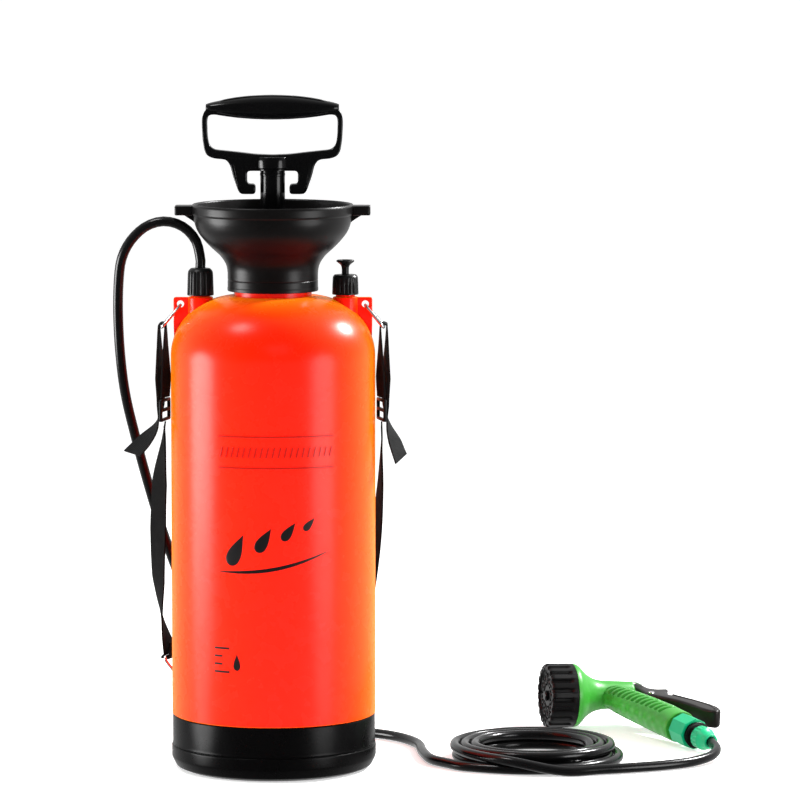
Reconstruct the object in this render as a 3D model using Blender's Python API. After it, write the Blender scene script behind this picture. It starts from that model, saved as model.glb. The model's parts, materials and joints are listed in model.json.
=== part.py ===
"""Eight litre compression sprayer: tank, hand pump, hose, carrying straps and trigger gun.

Metres, +Z up. The origin is the middle of the base's underside, on the floor. The tank stands on the
Z axis, its front faces -Y, the hose outlet is on its left (-X) and the relief valve on its right.
The hose lies behind the tank and in a coil at its right, and the gun lies on its side beyond the coil.
"""

from math import asin, atan2, cos, hypot, pi, radians, sin, tan

import bmesh
import bpy
from mathutils import Matrix, Vector

for old in list(bpy.data.objects):
    bpy.data.objects.remove(old, do_unlink=True)

GAP = 0.0003  # between pieces that touch on the real object

# Tank and base
TANK_R = 0.0910
TANK_WALL = 0.0030
SHOULDER_Z = 0.3700  # where the straight side ends and the dome starts
DOME_RISE = 0.0535
NECK_R = 0.0345
NECK_BORE_R = 0.0300
NECK_TOP_Z = 0.4465
BASE_TOP_Z = 0.0488
BASE_R = 0.0915
TANK_STEPS = 36

# Fittings on the two bosses of the shoulder
BOSS_X = 0.0644
BOSS_R = 0.0112
BOSS_TOP_Z = 0.4225
SPIGOT_R = 0.0084
SPIGOT_TOP_Z = 0.4270
BOSS_BORE_R = 0.0045
OUTLET_TOP_Z = 0.4480

# Strap lugs
LUG_HOLE_X = 0.0822
LUG_HOLE_Z = 0.4160
LOW_LUG_ANGLES = (radians(150), radians(50))  # left and right, from the X axis towards the back
LOW_LUG_HOLE_R = 0.0975
LOW_LUG_HOLE_Z = 0.0720
RING_BAR_X = 0.0985
RING_BAR_Z = 0.3960
LOW_RING_BAR_R = 0.1070
LOW_RING_BAR_Z = 0.0930
STRAP_WIDTH = 0.0220
STRAP_THICK = 0.0015
WIRE_R = 0.0014
WRAP_R = 0.0029  # middle of the webbing round a ring's bar

# Funnel and pump
FUNNEL_R = 0.0715
FUNNEL_TOP_Z = 0.5050
FUNNEL_BOTTOM_Z = 0.4280
COLLAR_R = 0.0402
CAP_FLOOR_Z = 0.4540
GUIDE_TOP_Z = 0.4965
GUIDE_BORE_R = 0.0115
CYLINDER_R = 0.0248
CYLINDER_BORE_R = 0.0225
CYLINDER_BOTTOM_Z = 0.2000
ROD_R = 0.0110
ROD_TOP_Z = 0.5440
PISTON_BOTTOM_Z = 0.2450
HANDLE_UNDER_Z = 0.5346
HANDLE_DEPTH = 0.0170
PIN_Z = 0.5395

# Hose
HOSE_R = 0.0045
COIL_CENTRE = (0.2350, 0.0300)
COIL_R = 0.0825
COIL_HOLE_R = 0.0450
COIL_TOP_Z = 0.0200

# Gun, in its own frame: Z up the handle, X towards the trigger, Y across
BARREL_TILT = radians(15)
BARREL_CROSS_Z = 0.1260  # where the barrel's axis crosses the handle's
TRIGGER_PIVOT = Vector((0.0234, 0, 0.0918))
BAIL_PIVOT = Vector((0.0275, 0, 0.1170))
TRIGGER_HALF = 0.0085
DIAL_R = 0.0300
DIAL_BACK = 0.0386
SLEEVE_R = 0.0145
SLEEVE_BOTTOM_Z = -0.0256
HOSE_NUT_END_Z = -0.0549

# Where the gun lies on the floor
GUN_HEADING = radians(118)  # direction from the hose end to the head
GUN_FOOT = (0.3700, 0.1030)  # the handle's lower end, seen from above
DIAL_LOW_Z = BARREL_CROSS_Z + DIAL_BACK * sin(BARREL_TILT)
GUN_TILT = asin((DIAL_R - SLEEVE_R) / (DIAL_LOW_Z - SLEEVE_BOTTOM_Z))
GUN_HEIGHT = GAP + SLEEVE_R - SLEEVE_BOTTOM_Z * sin(GUN_TILT)

BLACK = (0.012, 0.012, 0.013)


def material(name, colour, roughness, metallic=0.0):
    made = bpy.data.materials.new(name)
    made.use_nodes = True
    shader = made.node_tree.nodes["Principled BSDF"]
    shader.inputs["Base Color"].default_value = (*colour, 1)
    shader.inputs["Roughness"].default_value = roughness
    shader.inputs["Metallic"].default_value = metallic
    return made


def finish(name, mesh, made_of):
    """An object of this name from a mesh, shaded smooth with its edges kept."""
    obj = bpy.data.objects.new(name, mesh)
    bpy.context.scene.collection.objects.link(obj)
    mesh.materials.append(material(name, *made_of))
    mesh.shade_smooth()
    mesh.set_sharp_from_angle(angle=radians(35))
    return obj


def turned(name, section, made_of, steps=24):
    """A piece turned about Z, from (radius, height) points listed round its section."""
    bm = bmesh.new()
    verts = [bm.verts.new((radius, 0, height)) for radius, height in section]
    edges = []
    for index, vert in enumerate(verts):
        after = verts[(index + 1) % len(verts)]
        if vert.co.x > 0 or after.co.x > 0:
            edges.append(bm.edges.new((vert, after)))
    bmesh.ops.spin(bm, geom=verts + edges, cent=(0, 0, 0), axis=(0, 0, 1), angle=2 * pi,
                   steps=steps, use_merge=True)
    bmesh.ops.remove_doubles(bm, verts=bm.verts, dist=1e-6)
    bmesh.ops.recalc_face_normals(bm, faces=bm.faces)
    mesh = bpy.data.meshes.new(name)
    bm.to_mesh(mesh)
    bm.free()
    return finish(name, mesh, made_of)


def plate(name, outline, depth, made_of, holes=(), bevel=0.0):
    """A flat piece in the XZ plane, depth thick along Y and centred on it, with rounded edges."""
    curve = bpy.data.curves.new(name, "CURVE")
    curve.dimensions = "2D"
    curve.fill_mode = "BOTH"
    curve.extrude = depth / 2 - bevel
    curve.bevel_depth = bevel
    curve.bevel_resolution = 1
    curve.offset = -bevel
    for points in (outline, *holes):
        spline = curve.splines.new("POLY")
        spline.points.add(len(points) - 1)
        for point, (x, z) in zip(spline.points, points):
            point.co = (x, z, 0, 1)
        spline.use_cyclic_u = True
    flat = bpy.data.objects.new(name + "_outline", curve)
    bpy.context.scene.collection.objects.link(flat)
    bpy.context.view_layer.update()
    mesh = bpy.data.meshes.new_from_object(flat.evaluated_get(bpy.context.evaluated_depsgraph_get()))
    bpy.data.objects.remove(flat)
    mesh.name = name
    mesh.transform(Matrix.Rotation(pi / 2, 4, "X"))
    mesh.materials.clear()
    bm = bmesh.new()
    bm.from_mesh(mesh)
    bmesh.ops.remove_doubles(bm, verts=bm.verts, dist=1e-5)
    bmesh.ops.recalc_face_normals(bm, faces=bm.faces)
    bm.to_mesh(mesh)
    bm.free()
    return finish(name, mesh, made_of)


def lofted(name, rings, made_of):
    """A closed skin over rings of as many points each, with flat ends."""
    bm = bmesh.new()
    loops = [[bm.verts.new(point) for point in ring] for ring in rings]
    for lower, upper in zip(loops, loops[1:]):
        for index in range(len(lower)):
            after = (index + 1) % len(lower)
            bm.faces.new((lower[index], lower[after], upper[after], upper[index]))
    bm.faces.new(loops[0])
    bm.faces.new(loops[-1])
    bmesh.ops.recalc_face_normals(bm, faces=bm.faces)
    mesh = bpy.data.meshes.new(name)
    bm.to_mesh(mesh)
    bm.free()
    return finish(name, mesh, made_of)


def wire(name, points, radius, made_of, closed=False, sides=2):
    """A round wire or tube through these points."""
    curve = bpy.data.curves.new(name, "CURVE")
    curve.dimensions = "3D"
    curve.bevel_depth = radius
    curve.bevel_resolution = sides
    curve.use_fill_caps = not closed
    spline = curve.splines.new("POLY")
    spline.points.add(len(points) - 1)
    for point, place in zip(spline.points, points):
        point.co = (*place, 1)
    spline.use_cyclic_u = closed
    obj = bpy.data.objects.new(name, curve)
    bpy.context.scene.collection.objects.link(obj)
    curve.materials.append(material(name, *made_of))
    return obj


def block(name, low, high):
    """A plain box between two corners, used to cut or to join."""
    bm = bmesh.new()
    bmesh.ops.create_cube(bm, size=1)
    for vert in bm.verts:
        for axis in range(3):
            vert.co[axis] = high[axis] if vert.co[axis] > 0 else low[axis]
    mesh = bpy.data.meshes.new(name)
    bm.to_mesh(mesh)
    bm.free()
    return finish(name, mesh, (BLACK, 0.5))


def rod(name, start, end, radius, steps=16):
    """A plain cylinder between two points, used to cut or to join."""
    start = Vector(start)
    along = Vector(end) - start
    obj = turned(name, [(0, 0), (radius, 0), (radius, along.length), (0, along.length)],
                 (BLACK, 0.5), steps)
    turn = along.to_track_quat("Z", "Y").to_matrix().to_4x4()
    obj.data.transform(Matrix.Translation(start) @ turn)
    return obj


def combine(obj, tool, operation):
    """Joins a helper to the piece, or cuts it away, and hides the helper."""
    tool.hide_render = True
    tool.display_type = "WIRE"
    tool.parent = obj.parent
    step = obj.modifiers.new(f"{operation} {tool.name}", "BOOLEAN")
    step.operation = operation
    step.object = tool


def join(obj, *tools):
    for tool in tools:
        combine(obj, tool, "UNION")


def cut(obj, *tools):
    for tool in tools:
        combine(obj, tool, "DIFFERENCE")


def flutes(obj, beyond, every, depth):
    """Draws in every so many columns of the outer skin, for a finger grip."""
    for vert in obj.data.vertices:
        radius = hypot(vert.co.x, vert.co.y)
        column = round(atan2(vert.co.y, vert.co.x) / (2 * pi / 36))
        if radius > beyond and column % every == 0:
            vert.co.x *= 1 - depth / radius
            vert.co.y *= 1 - depth / radius


def put_origin(obj, point):
    """Moves the object's origin to a point on its joint's axis and leaves its shape where it is."""
    obj.data.transform(Matrix.Translation(-Vector(point)))
    obj.location = point


def smooth(points, step):
    """Points an even step apart on a smooth curve through these points."""
    places = [Vector(point) for point in points]
    places = [2 * places[0] - places[1], *places, 2 * places[-1] - places[-2]]
    fine = []
    for before, start, end, after in zip(places, places[1:], places[2:], places[3:]):
        for part in range(24):
            t = part / 24
            fine.append(0.5 * (2 * start + (end - before) * t
                               + (2 * before - 5 * start + 4 * end - after) * t * t
                               + (3 * start - before - 3 * end + after) * t * t * t))
    fine.append(places[-2])
    total = sum((b - a).length for a, b in zip(fine, fine[1:]))
    count = max(2, round(total / step))
    spaced = [fine[0]]
    walked = 0.0
    for a, b in zip(fine, fine[1:]):
        length = (b - a).length
        while len(spaced) < count and walked + length >= total * len(spaced) / count:
            spaced.append(a.lerp(b, (total * len(spaced) / count - walked) / length))
        walked += length
    spaced.append(fine[-1])
    return spaced


def between(values, share):
    """The value this share of the way along a list of vectors."""
    place = min(max(share, 0), 0.9999) * (len(values) - 1)
    first = int(place)
    return Vector(values[first]).lerp(Vector(values[first + 1]), place - first)


def nearest_share(points, place):
    """How far along the route's own points a place is, from 0 to 1."""
    best = (1e9, 0.0)
    for index, (a, b) in enumerate(zip(points, points[1:])):
        start = Vector(a)
        run = Vector(b) - start
        t = min(max((place - start).dot(run) / run.length_squared, 0), 1)
        best = min(best, ((place - start - run * t).length, (index + t) / (len(points) - 1)))
    return best[1]


def ribbon(name, points, across, step, made_of):
    """Webbing along a route. Each route point has the direction that the width lies in."""
    route = smooth(points, step)
    rings = []
    for index, place in enumerate(route):
        before = route[max(index - 1, 0)]
        after = route[min(index + 1, len(route) - 1)]
        along = (after - before).normalized()
        side = between(across, nearest_share(points, place))
        side = (side - along * side.dot(along)).normalized() * STRAP_WIDTH / 2
        over = along.cross(side).normalized() * STRAP_THICK / 2
        rings.append([place - side - over, place + side - over, place + side + over,
                      place - side + over])
    return lofted(name, rings, made_of)


# ---------------------------------------------------------------- tank and base

RED = (0.80, 0.035, 0.006)
SATIN_BLACK = (BLACK, 0.38)
RUBBER = ((0.02, 0.02, 0.02), 0.75)
CLEAR_PLASTIC = ((0.75, 0.77, 0.74), 0.35)


def dome(offset, angles):
    """Points of the shoulder from the side up to the neck, this far inside its outer skin."""
    reach = TANK_R - NECK_R - offset
    rise = DOME_RISE - offset
    return [(NECK_R + reach * cos(radians(a)), SHOULDER_Z + rise * sin(radians(a))) for a in angles]


def make_tank():
    inner = TANK_R - TANK_WALL
    section = [(0, 0.0120), (0.0550, 0.0095), (0.0700, 0.0045), (0.0780, 0.0045),
               (0.0862, 0.0125), (0.0878, 0.0200), (0.0878, BASE_TOP_Z + GAP),
               (TANK_R, BASE_TOP_Z + 0.0007), (TANK_R, 0.2100)]
    section += dome(0, range(0, 91, 15))
    section += [(NECK_R, NECK_TOP_Z), (NECK_BORE_R, NECK_TOP_Z)]
    section += [(NECK_BORE_R, SHOULDER_Z + DOME_RISE - TANK_WALL)]
    section += dome(TANK_WALL, range(80, -1, -20))
    section += [(inner, BASE_TOP_Z + 0.0030), (0.0848, BASE_TOP_Z + 0.0005), (0.0848, 0.0220),
                (0.0835, 0.0160), (0.0768, 0.0078), (0.0712, 0.0078), (0.0560, 0.0128), (0, 0.0153)]
    tank = turned("tank", section, (RED, 0.22), TANK_STEPS)
    lug_top = BOSS_TOP_Z - 0.0005
    upper_lug = [(0.0884, lug_top), (0.0884, 0.4000), *dome(TANK_WALL / 2, (14, 24, 34, 44, 50)),
                 (0.0705, lug_top)]
    lower_lug = [(0.0893, 0.0560), (0.0975, 0.0600), (0.1035, 0.0670), (0.1035, 0.0760),
                 (0.0980, 0.0815), (0.0893, 0.0880)]
    for side, turn in zip((-1, 1), LOW_LUG_ANGLES):
        cut(tank, rod(f"shoulder_hole_{side}", (side * BOSS_X, 0, 0.3900), (side * BOSS_X, 0, 0.4300),
                      BOSS_BORE_R + 0.0015))
        boss = turned(f"boss_{side}", [(BOSS_BORE_R, 0.4035), (BOSS_R, 0.4035), (BOSS_R, BOSS_TOP_Z),
                                       (SPIGOT_R, BOSS_TOP_Z), (SPIGOT_R, SPIGOT_TOP_Z),
                                       (BOSS_BORE_R, SPIGOT_TOP_Z)], (RED, 0.22), 16)
        boss.location.x = side * BOSS_X
        upper = plate(f"upper_lug_{side}", [(side * x, z) for x, z in upper_lug], 0.0060, (RED, 0.22),
                      holes=[circle(side * LUG_HOLE_X, LUG_HOLE_Z, 0.0032)])
        lower = plate(f"lower_lug_{side}", lower_lug, 0.0060, (RED, 0.22),
                      holes=[circle(LOW_LUG_HOLE_R, LOW_LUG_HOLE_Z, 0.0032)])
        lower.data.transform(Matrix.Rotation(turn, 4, "Z"))
        join(tank, boss, upper, lower)


def make_base():
    turned("base_boot", [(0, 0), (0.0800, 0), (0.0875, 0.0030), (BASE_R, 0.0110), (BASE_R, 0.0215),
                         (0.0906, 0.0228), (0.0906, BASE_TOP_Z), (0.0882, BASE_TOP_Z),
                         (0.0882, 0.0120), (0.0800, 0.0036), (0, 0.0036)], SATIN_BLACK, TANK_STEPS)


# ---------------------------------------------------------------- funnel and pump


def make_funnel():
    section = [(COLLAR_R - 0.0008, FUNNEL_BOTTOM_Z), (COLLAR_R, FUNNEL_BOTTOM_Z + 0.0015),
               (COLLAR_R + 0.0002, 0.4465), (0.0436, 0.4560), (0.0590, 0.4708), (0.0670, 0.4802),
               (0.0706, 0.4900), (FUNNEL_R + 0.0004, FUNNEL_TOP_Z), (0.0690, FUNNEL_TOP_Z),
               (0.0680, 0.4905), (0.0646, 0.4814), (0.0572, 0.4728), (0.0405, 0.4570),
               (0.0375, CAP_FLOOR_Z), (0.0305, CAP_FLOOR_Z),
               (0.0305, NECK_TOP_Z + 0.0021), (0.0365, NECK_TOP_Z + 0.0021),
               (0.0365, FUNNEL_BOTTOM_Z)]
    funnel = turned("funnel", section, SATIN_BLACK, TANK_STEPS)
    left = block("left_ear", (-0.0870, -0.0110, 0.4950), (-0.0698, 0.0110, 0.5038))
    right = block("right_ear", (0.0698, -0.0110, 0.4950), (0.0870, 0.0110, 0.5038))
    join(funnel, left, right)
    turned("neck_seal", [(0.0305, NECK_TOP_Z + GAP), (0.0344, NECK_TOP_Z + GAP),
                         (0.0344, NECK_TOP_Z + 0.0018), (0.0305, NECK_TOP_Z + 0.0018)], RUBBER)


def make_pump_cap():
    floor = CAP_FLOOR_Z + 0.0022
    ceiling = 0.4580
    cap = turned("pump_cap", [(CYLINDER_R + 0.0004, 0.4475), (0.0300, 0.4475), (0.0300, floor),
                              (0.0360, floor), (0.0360, 0.4612), (0.0345, 0.4625), (0.0170, 0.4640),
                              (0.0143, 0.4665), (0.0137, GUIDE_TOP_Z), (GUIDE_BORE_R, GUIDE_TOP_Z),
                              (GUIDE_BORE_R, ceiling), (CYLINDER_R + 0.0004, ceiling)], SATIN_BLACK)
    for side in (-1, 1):
        arc = [(0.0212 * sin(radians(a)), side * 0.0212 * cos(radians(a))) for a in (-25, -9, 9, 25)]
        outline = [(-0.0055, side * 0.0124), *arc, (0.0055, side * 0.0124)]
        lug = plate(f"lock_lug_{side}", outline, 0.0060, SATIN_BLACK)
        lug.data.transform(Matrix.Rotation(-pi / 2, 4, "X"))
        lug.data.transform(Matrix.Translation((0, 0, GUIDE_TOP_Z - 0.0030)))
        join(cap, lug)
    turned("pump_gasket", [(0.0310, CAP_FLOOR_Z + GAP), (0.0356, CAP_FLOOR_Z + GAP),
                           (0.0356, floor - GAP), (0.0310, floor - GAP)], RUBBER)


def make_pump_cylinder():
    z = CYLINDER_BOTTOM_Z
    turned("pump_cylinder", [(CYLINDER_R, z), (CYLINDER_R, 0.4577), (CYLINDER_BORE_R, 0.4577),
                             (CYLINDER_BORE_R, z + 0.0040), (0.0050, z + 0.0040), (0.0050, z),
                             (0.0135, z), (0.0135, z - 0.0110), (0.0155, z - 0.0110), (0.0155, z)],
           CLEAR_PLASTIC)
    turned("check_valve", [(0, z - 0.0021), (0.0095, z - 0.0021), (0.0095, z - GAP), (0, z - GAP)],
           RUBBER, 16)
    turned("valve_retainer", [(0.0060, z - 0.0080), (0.0132, z - 0.0080), (0.0132, z - 0.0056),
                              (0.0060, z - 0.0056)], CLEAR_PLASTIC, 16)


def make_piston():
    z = PISTON_BOTTOM_Z
    turned("piston", [(0.0042, z), (0.0215, z), (0.0215, z + 0.0050), (0.0190, z + 0.0054),
                      (0.0190, z + 0.0116), (0.0215, z + 0.0120), (0.0215, z + 0.0170),
                      (0.0042, z + 0.0170)], CLEAR_PLASTIC)
    turned("piston_seal", [(0.0193, z + 0.0058), (0.0222, z + 0.0058), (0.0222, z + 0.0112),
                           (0.0193, z + 0.0112)], RUBBER)
    turned("piston_screw", [(0, z - 0.0045), (0.0075, z - 0.0045), (0.0075, z - GAP),
                            (0.0039, z - GAP), (0.0039, z + 0.0290), (0, z + 0.0290)],
           ((0.6, 0.6, 0.6), 0.3, 1.0), 16)
    foot = z + 0.0170 + GAP
    rod_piece = turned("pump_rod", [(ROD_R, foot), (ROD_R, ROD_TOP_Z), (0.0085, ROD_TOP_Z),
                                    (0.0085, foot + 0.0137), (0.0042, foot + 0.0137),
                                    (0.0042, foot)], (BLACK, 0.2))
    cut(rod_piece, rod("rod_pin_hole", (0, -0.03, PIN_Z), (0, 0.03, PIN_Z), 0.0018, 12))


def circle(x, z, radius, count=12):
    """Points round a circle, for a hole in a plate."""
    turns = [2 * pi * (part + 0.5) / count for part in range(count)]
    return [(x + radius * cos(a), z + radius * sin(a)) for a in turns]


def mirrored(half):
    """A whole outline from its right half, listed from the top down."""
    return half + [(-x, z) for x, z in reversed(half) if x > 0]


def make_handle():
    top = 0.6017
    outline = mirrored([(0, top), (0.0220, top - 0.0008), (0.0400, top - 0.0032),
                        (0.0540, 0.5930), (0.0610, 0.5850), (0.0625, 0.5750), (0.0618, 0.5620),
                        (0.0600, 0.5520), (0.0550, 0.5462), (0.0385, 0.5448), (0.0350, 0.5300),
                        (0.0300, 0.5165), (0.0285, 0.5140), (0.0150, 0.5140), (0.0150, 0.5230),
                        (0.0225, 0.5230), (0.0225, HANDLE_UNDER_Z)])
    window = mirrored([(0, 0.5800), (0.0300, 0.5812), (0.0500, 0.5840), (0.0560, 0.5836),
                       (0.0578, 0.5790), (0.0574, 0.5650), (0.0558, 0.5562), (0.0520, 0.5532),
                       (0.0300, 0.5512), (0, 0.5488)])
    handle = plate("handle", outline, HANDLE_DEPTH, SATIN_BLACK, holes=[window], bevel=0.0018)
    grip = turned("grip", [(0, -0.0590), (0.0062, -0.0580), (0.0088, -0.0380), (0.0105, -0.0150),
                           (0.0105, 0.0150), (0.0088, 0.0380), (0.0062, 0.0580), (0, 0.0590)],
                  SATIN_BLACK, 12)
    grip.data.transform(Matrix.Rotation(pi / 2, 4, "Y"))
    grip.data.transform(Matrix.Diagonal((1, 1.2, 1, 1)))
    grip.data.transform(Matrix.Translation((0, 0, 0.5906)))
    hub = rod("hub", (0, 0, HANDLE_UNDER_Z), (0, 0, 0.5476), 0.0148, 18)
    join(handle, grip, hub)
    cut(handle, rod("rod_socket", (0, 0, 0.5200), (0, 0, ROD_TOP_Z + GAP), ROD_R + GAP, 24),
        rod("pin_hole", (0, -0.03, PIN_Z), (0, 0.03, PIN_Z), 0.0018, 12))
    pin = turned("handle_pin", [(0, -0.0140), (0.0015, -0.0140), (0.0015, 0.0140), (0, 0.0140)],
                 ((0.6, 0.6, 0.6), 0.3, 1.0), 12)
    pin.data.transform(Matrix.Translation((0, 0, PIN_Z)) @ Matrix.Rotation(pi / 2, 4, "X"))


# ---------------------------------------------------------------- outlet and relief valve


def make_outlet():
    seat = SPIGOT_TOP_Z
    parts = [
        turned("outlet_gasket", [(0.0045, seat + GAP), (0.0084, seat + GAP),
                                 (0.0084, seat + 0.0014), (0.0045, seat + 0.0014)], RUBBER, 18),
        turned("outlet_nipple", [(0.0014, 0.3900), (0.0024, 0.3900), (0.0024, 0.4000),
                                 (0.0041, 0.4000), (0.0041, seat + 0.0017), (0.0085, seat + 0.0017),
                                 (0.0085, seat + 0.0037), (0.0030, seat + 0.0037),
                                 (0.0030, 0.4430), (0.0014, 0.4430)], SATIN_BLACK, 18),
        turned("outlet_nut", [(0.0119, BOSS_TOP_Z + 0.0012), (0.0112, 0.4440),
                              (0.0085, OUTLET_TOP_Z), (0.0047, OUTLET_TOP_Z),
                              (0.0047, seat + 0.0041), (0.0089, seat + 0.0041),
                              (0.0089, BOSS_TOP_Z + 0.0012)], SATIN_BLACK, 36),
        turned("dip_tube", [(0.0028, 0.0175), (0.0040, 0.0175), (0.0040, 0.3997),
                            (0.0028, 0.3997)], CLEAR_PLASTIC, 12),
        turned("dip_filter", [(0, 0.0125), (0.0062, 0.0125), (0.0062, 0.0300), (0.0043, 0.0300),
                              (0.0043, 0.0172), (0, 0.0172)], CLEAR_PLASTIC, 16),
    ]
    flutes(parts[2], 0.0105, 3, 0.0007)
    for part in parts:
        part.location.x = -BOSS_X


def make_relief_valve():
    seat = SPIGOT_TOP_Z
    top = 0.4422
    knob = 0.4553
    spring_low = seat + 0.0060
    spring_high = top - 0.0029
    turns = 4
    coil = [(0.0047 * cos(2 * pi * i / 10), 0.0047 * sin(2 * pi * i / 10),
             spring_low + (spring_high - spring_low) * i / (10 * turns))
            for i in range(10 * turns + 1)]
    parts = [
        turned("relief_gasket", [(0.0048, seat + GAP), (0.0084, seat + GAP),
                                 (0.0084, seat + 0.0014), (0.0048, seat + 0.0014)], RUBBER, 18),
        turned("relief_body", [(0.0118, BOSS_TOP_Z + 0.0020), (0.0111, top - 0.0015),
                               (0.0100, top), (0.0037, top), (0.0037, top - 0.0022),
                               (0.0062, top - 0.0022), (0.0062, seat + 0.0030),
                               (0.0030, seat + 0.0030), (0.0030, seat + 0.0017),
                               (0.0089, seat + 0.0017), (0.0089, BOSS_TOP_Z + 0.0020)],
               SATIN_BLACK, 36),
        turned("relief_seal", [(0, seat + 0.0033), (0.0052, seat + 0.0033),
                               (0.0052, seat + 0.0042), (0, seat + 0.0042)], RUBBER, 16),
        turned("relief_stem", [(0, seat + 0.0045), (0.0057, seat + 0.0045),
                               (0.0057, seat + 0.0053), (0.0032, seat + 0.0053),
                               (0.0032, 0.4500), (0.0045, 0.4518), (0.0078, knob - 0.0022),
                               (0.0080, knob - 0.0008), (0.0072, knob), (0.0042, knob - 0.0005),
                               (0, knob - 0.0012)], SATIN_BLACK, 20),
        wire("relief_spring", coil, 0.0004, ((0.6, 0.6, 0.6), 0.3, 1.0), sides=0),
    ]
    flutes(parts[1], 0.0105, 3, 0.0007)
    for part in parts:
        part.location.x = BOSS_X


# ---------------------------------------------------------------- straps

WEBBING = ((0.015, 0.014, 0.014), 0.85)
CHROME = ((0.62, 0.62, 0.64), 0.22, 1.0)


def wire_ring(name, apex, base, along):
    """A triangular wire ring from a bar through the lug's hole to a bar that holds the webbing."""
    narrow = along * 0.0048
    wide = along * 0.0155
    shoulder = (apex - base).normalized() * 0.0039
    points = [apex - narrow, apex + narrow, base + wide + shoulder, base + wide * 0.86,
              base - wide * 0.86, base - wide + shoulder]
    wire(name, points, WIRE_R, CHROME, closed=True, sides=1)


def turn_round(bar, out, first, last):
    """Route points round a ring's bar, from one angle to another, measured from out towards up."""
    up = Vector((0, 0, 1))
    angles = [radians(first + (last - first) * part / 4) for part in range(5)]
    return [bar + (out * cos(a) + up * sin(a)) * WRAP_R for a in angles]


def make_strap_end(name, side, tail, tail_across):
    """The upper ring, the webbing that loops over it and hangs as a tail, and the buckle."""
    out = Vector((side, 0, 0))
    level = Vector((0, 1, 0))
    bar = Vector((side * RING_BAR_X, 0, RING_BAR_Z))
    wire_ring(f"strap_ring_{name}", Vector((side * LUG_HOLE_X, 0, LUG_HOLE_Z - 0.0010)), bar, level)
    route = [Vector((side * x, 0, z)) for x, z in ((0.0962, 0.3325), (0.0955, 0.3500),
                                                   (0.0956, 0.3780))]
    route += turn_round(bar, out, 180, 0)
    route += [Vector((side * x, 0, z)) for x, z in ((0.1012, 0.3780), (0.1006, 0.3500),
                                                    (0.1004, 0.3250))]
    across = [level] * (len(route) - 1)
    across += [level.lerp(Vector(tail_across), share) for share in (0.1, 0.5, 0.9, 1)]
    ribbon(f"strap_loop_{name}", route + [Vector(point) for point in tail], across, 0.0035, WEBBING)
    buckle = plate(f"strap_buckle_{name}", rectangle(0.0140, -0.0100, 0.0100), 0.0030, SATIN_BLACK,
                   holes=[rectangle(0.0115, 0.0015, 0.0072), rectangle(0.0115, -0.0072, -0.0015)])
    buckle.data.transform(Matrix.Rotation(pi / 2, 4, "Z"))
    buckle.location = (side * 0.0966, 0, 0.3215)


def rectangle(half, low, high):
    return [(-half, low), (half, low), (half, high), (-half, high)]


def make_strap_run(name, angle, route, across):
    """The lower ring on its lug, and the webbing from the buckle down to it."""
    out = Vector((cos(angle), sin(angle), 0))
    level = Vector((-sin(angle), cos(angle), 0))
    bar = out * LOW_RING_BAR_R + Vector((0, 0, LOW_RING_BAR_Z))
    hole = out * LOW_LUG_HOLE_R + Vector((0, 0, LOW_LUG_HOLE_Z + 0.0010))
    wire_ring(f"low_ring_{name}", hole, bar, level)
    route = [Vector(point) for point in route] + turn_round(bar, out, 0, -180)
    route.append(bar - out * WRAP_R + Vector((0, 0, 0.0120)))
    across = [Vector(side) for side in across] + [level * (1 if level.y > 0 else -1)] * 6
    ribbon(f"strap_{name}", route, across, 0.0032, WEBBING)


def make_straps():
    make_strap_end("left", -1, [(-0.1045, -0.0030, 0.3080), (-0.1150, -0.0070, 0.2940),
                                (-0.1255, -0.0090, 0.2830)], (-0.40, 0.80, 0.45))
    make_strap_end("right", 1, [(0.1030, -0.0020, 0.3080), (0.1085, -0.0050, 0.2930),
                                (0.1140, -0.0080, 0.2780)], (0.45, 0.85, 0.25))
    make_strap_run("left", LOW_LUG_ANGLES[0],
                   [(-0.0966, 0, 0.3085), (-0.0978, 0.0025, 0.2900), (-0.1020, 0.0110, 0.2550),
                    (-0.1040, 0.0200, 0.2100), (-0.1045, 0.0310, 0.1650), (-0.1020, 0.0440, 0.1250)],
                   [(0, 1, 0), (-0.2, 1, 0), (-0.6, 0.8, 0), (-0.65, 0.75, 0), (-0.5, 0.85, 0),
                    (0, 1, 0)])
    make_strap_run("right", LOW_LUG_ANGLES[1],
                   [(0.0966, 0, 0.3085), (0.0968, 0.0025, 0.2900), (0.0955, 0.0200, 0.2500),
                    (0.0915, 0.0390, 0.2050), (0.0845, 0.0580, 0.1600), (0.0765, 0.0740, 0.1200)],
                   [(0, 1, 0), (0, 1, 0), (-0.2, 1, 0), (-0.4, 0.9, 0), (-0.6, 0.8, 0),
                    (-0.7, 0.7, 0)])


# ---------------------------------------------------------------- trigger gun

GREEN = ((0.035, 0.30, 0.035), 0.35)
TURQUOISE = ((0.0, 0.42, 0.20), 0.35)
STEEL = ((0.6, 0.6, 0.6), 0.3, 1.0)
gun = bpy.data.objects.new("gun_place", None)
bpy.context.scene.collection.objects.link(gun)
BARREL = Matrix.Translation((0, 0, BARREL_CROSS_Z)) @ Matrix.Rotation(BARREL_TILT - pi / 2, 4, "Y")


def place_gun():
    """Lays the gun on its side, with the dial's rim and the connector's sleeve on the floor."""
    level = Vector((cos(GUN_HEADING - pi / 2), sin(GUN_HEADING - pi / 2), 0))
    up_handle = Vector((cos(GUN_HEADING) * cos(GUN_TILT), sin(GUN_HEADING) * cos(GUN_TILT),
                        sin(GUN_TILT)))
    across = up_handle.cross(level)
    gun.matrix_world = Matrix.Translation((*GUN_FOOT, GUN_HEIGHT)) @ Matrix(
        (level, across, up_handle)).transposed().to_4x4()


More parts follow.
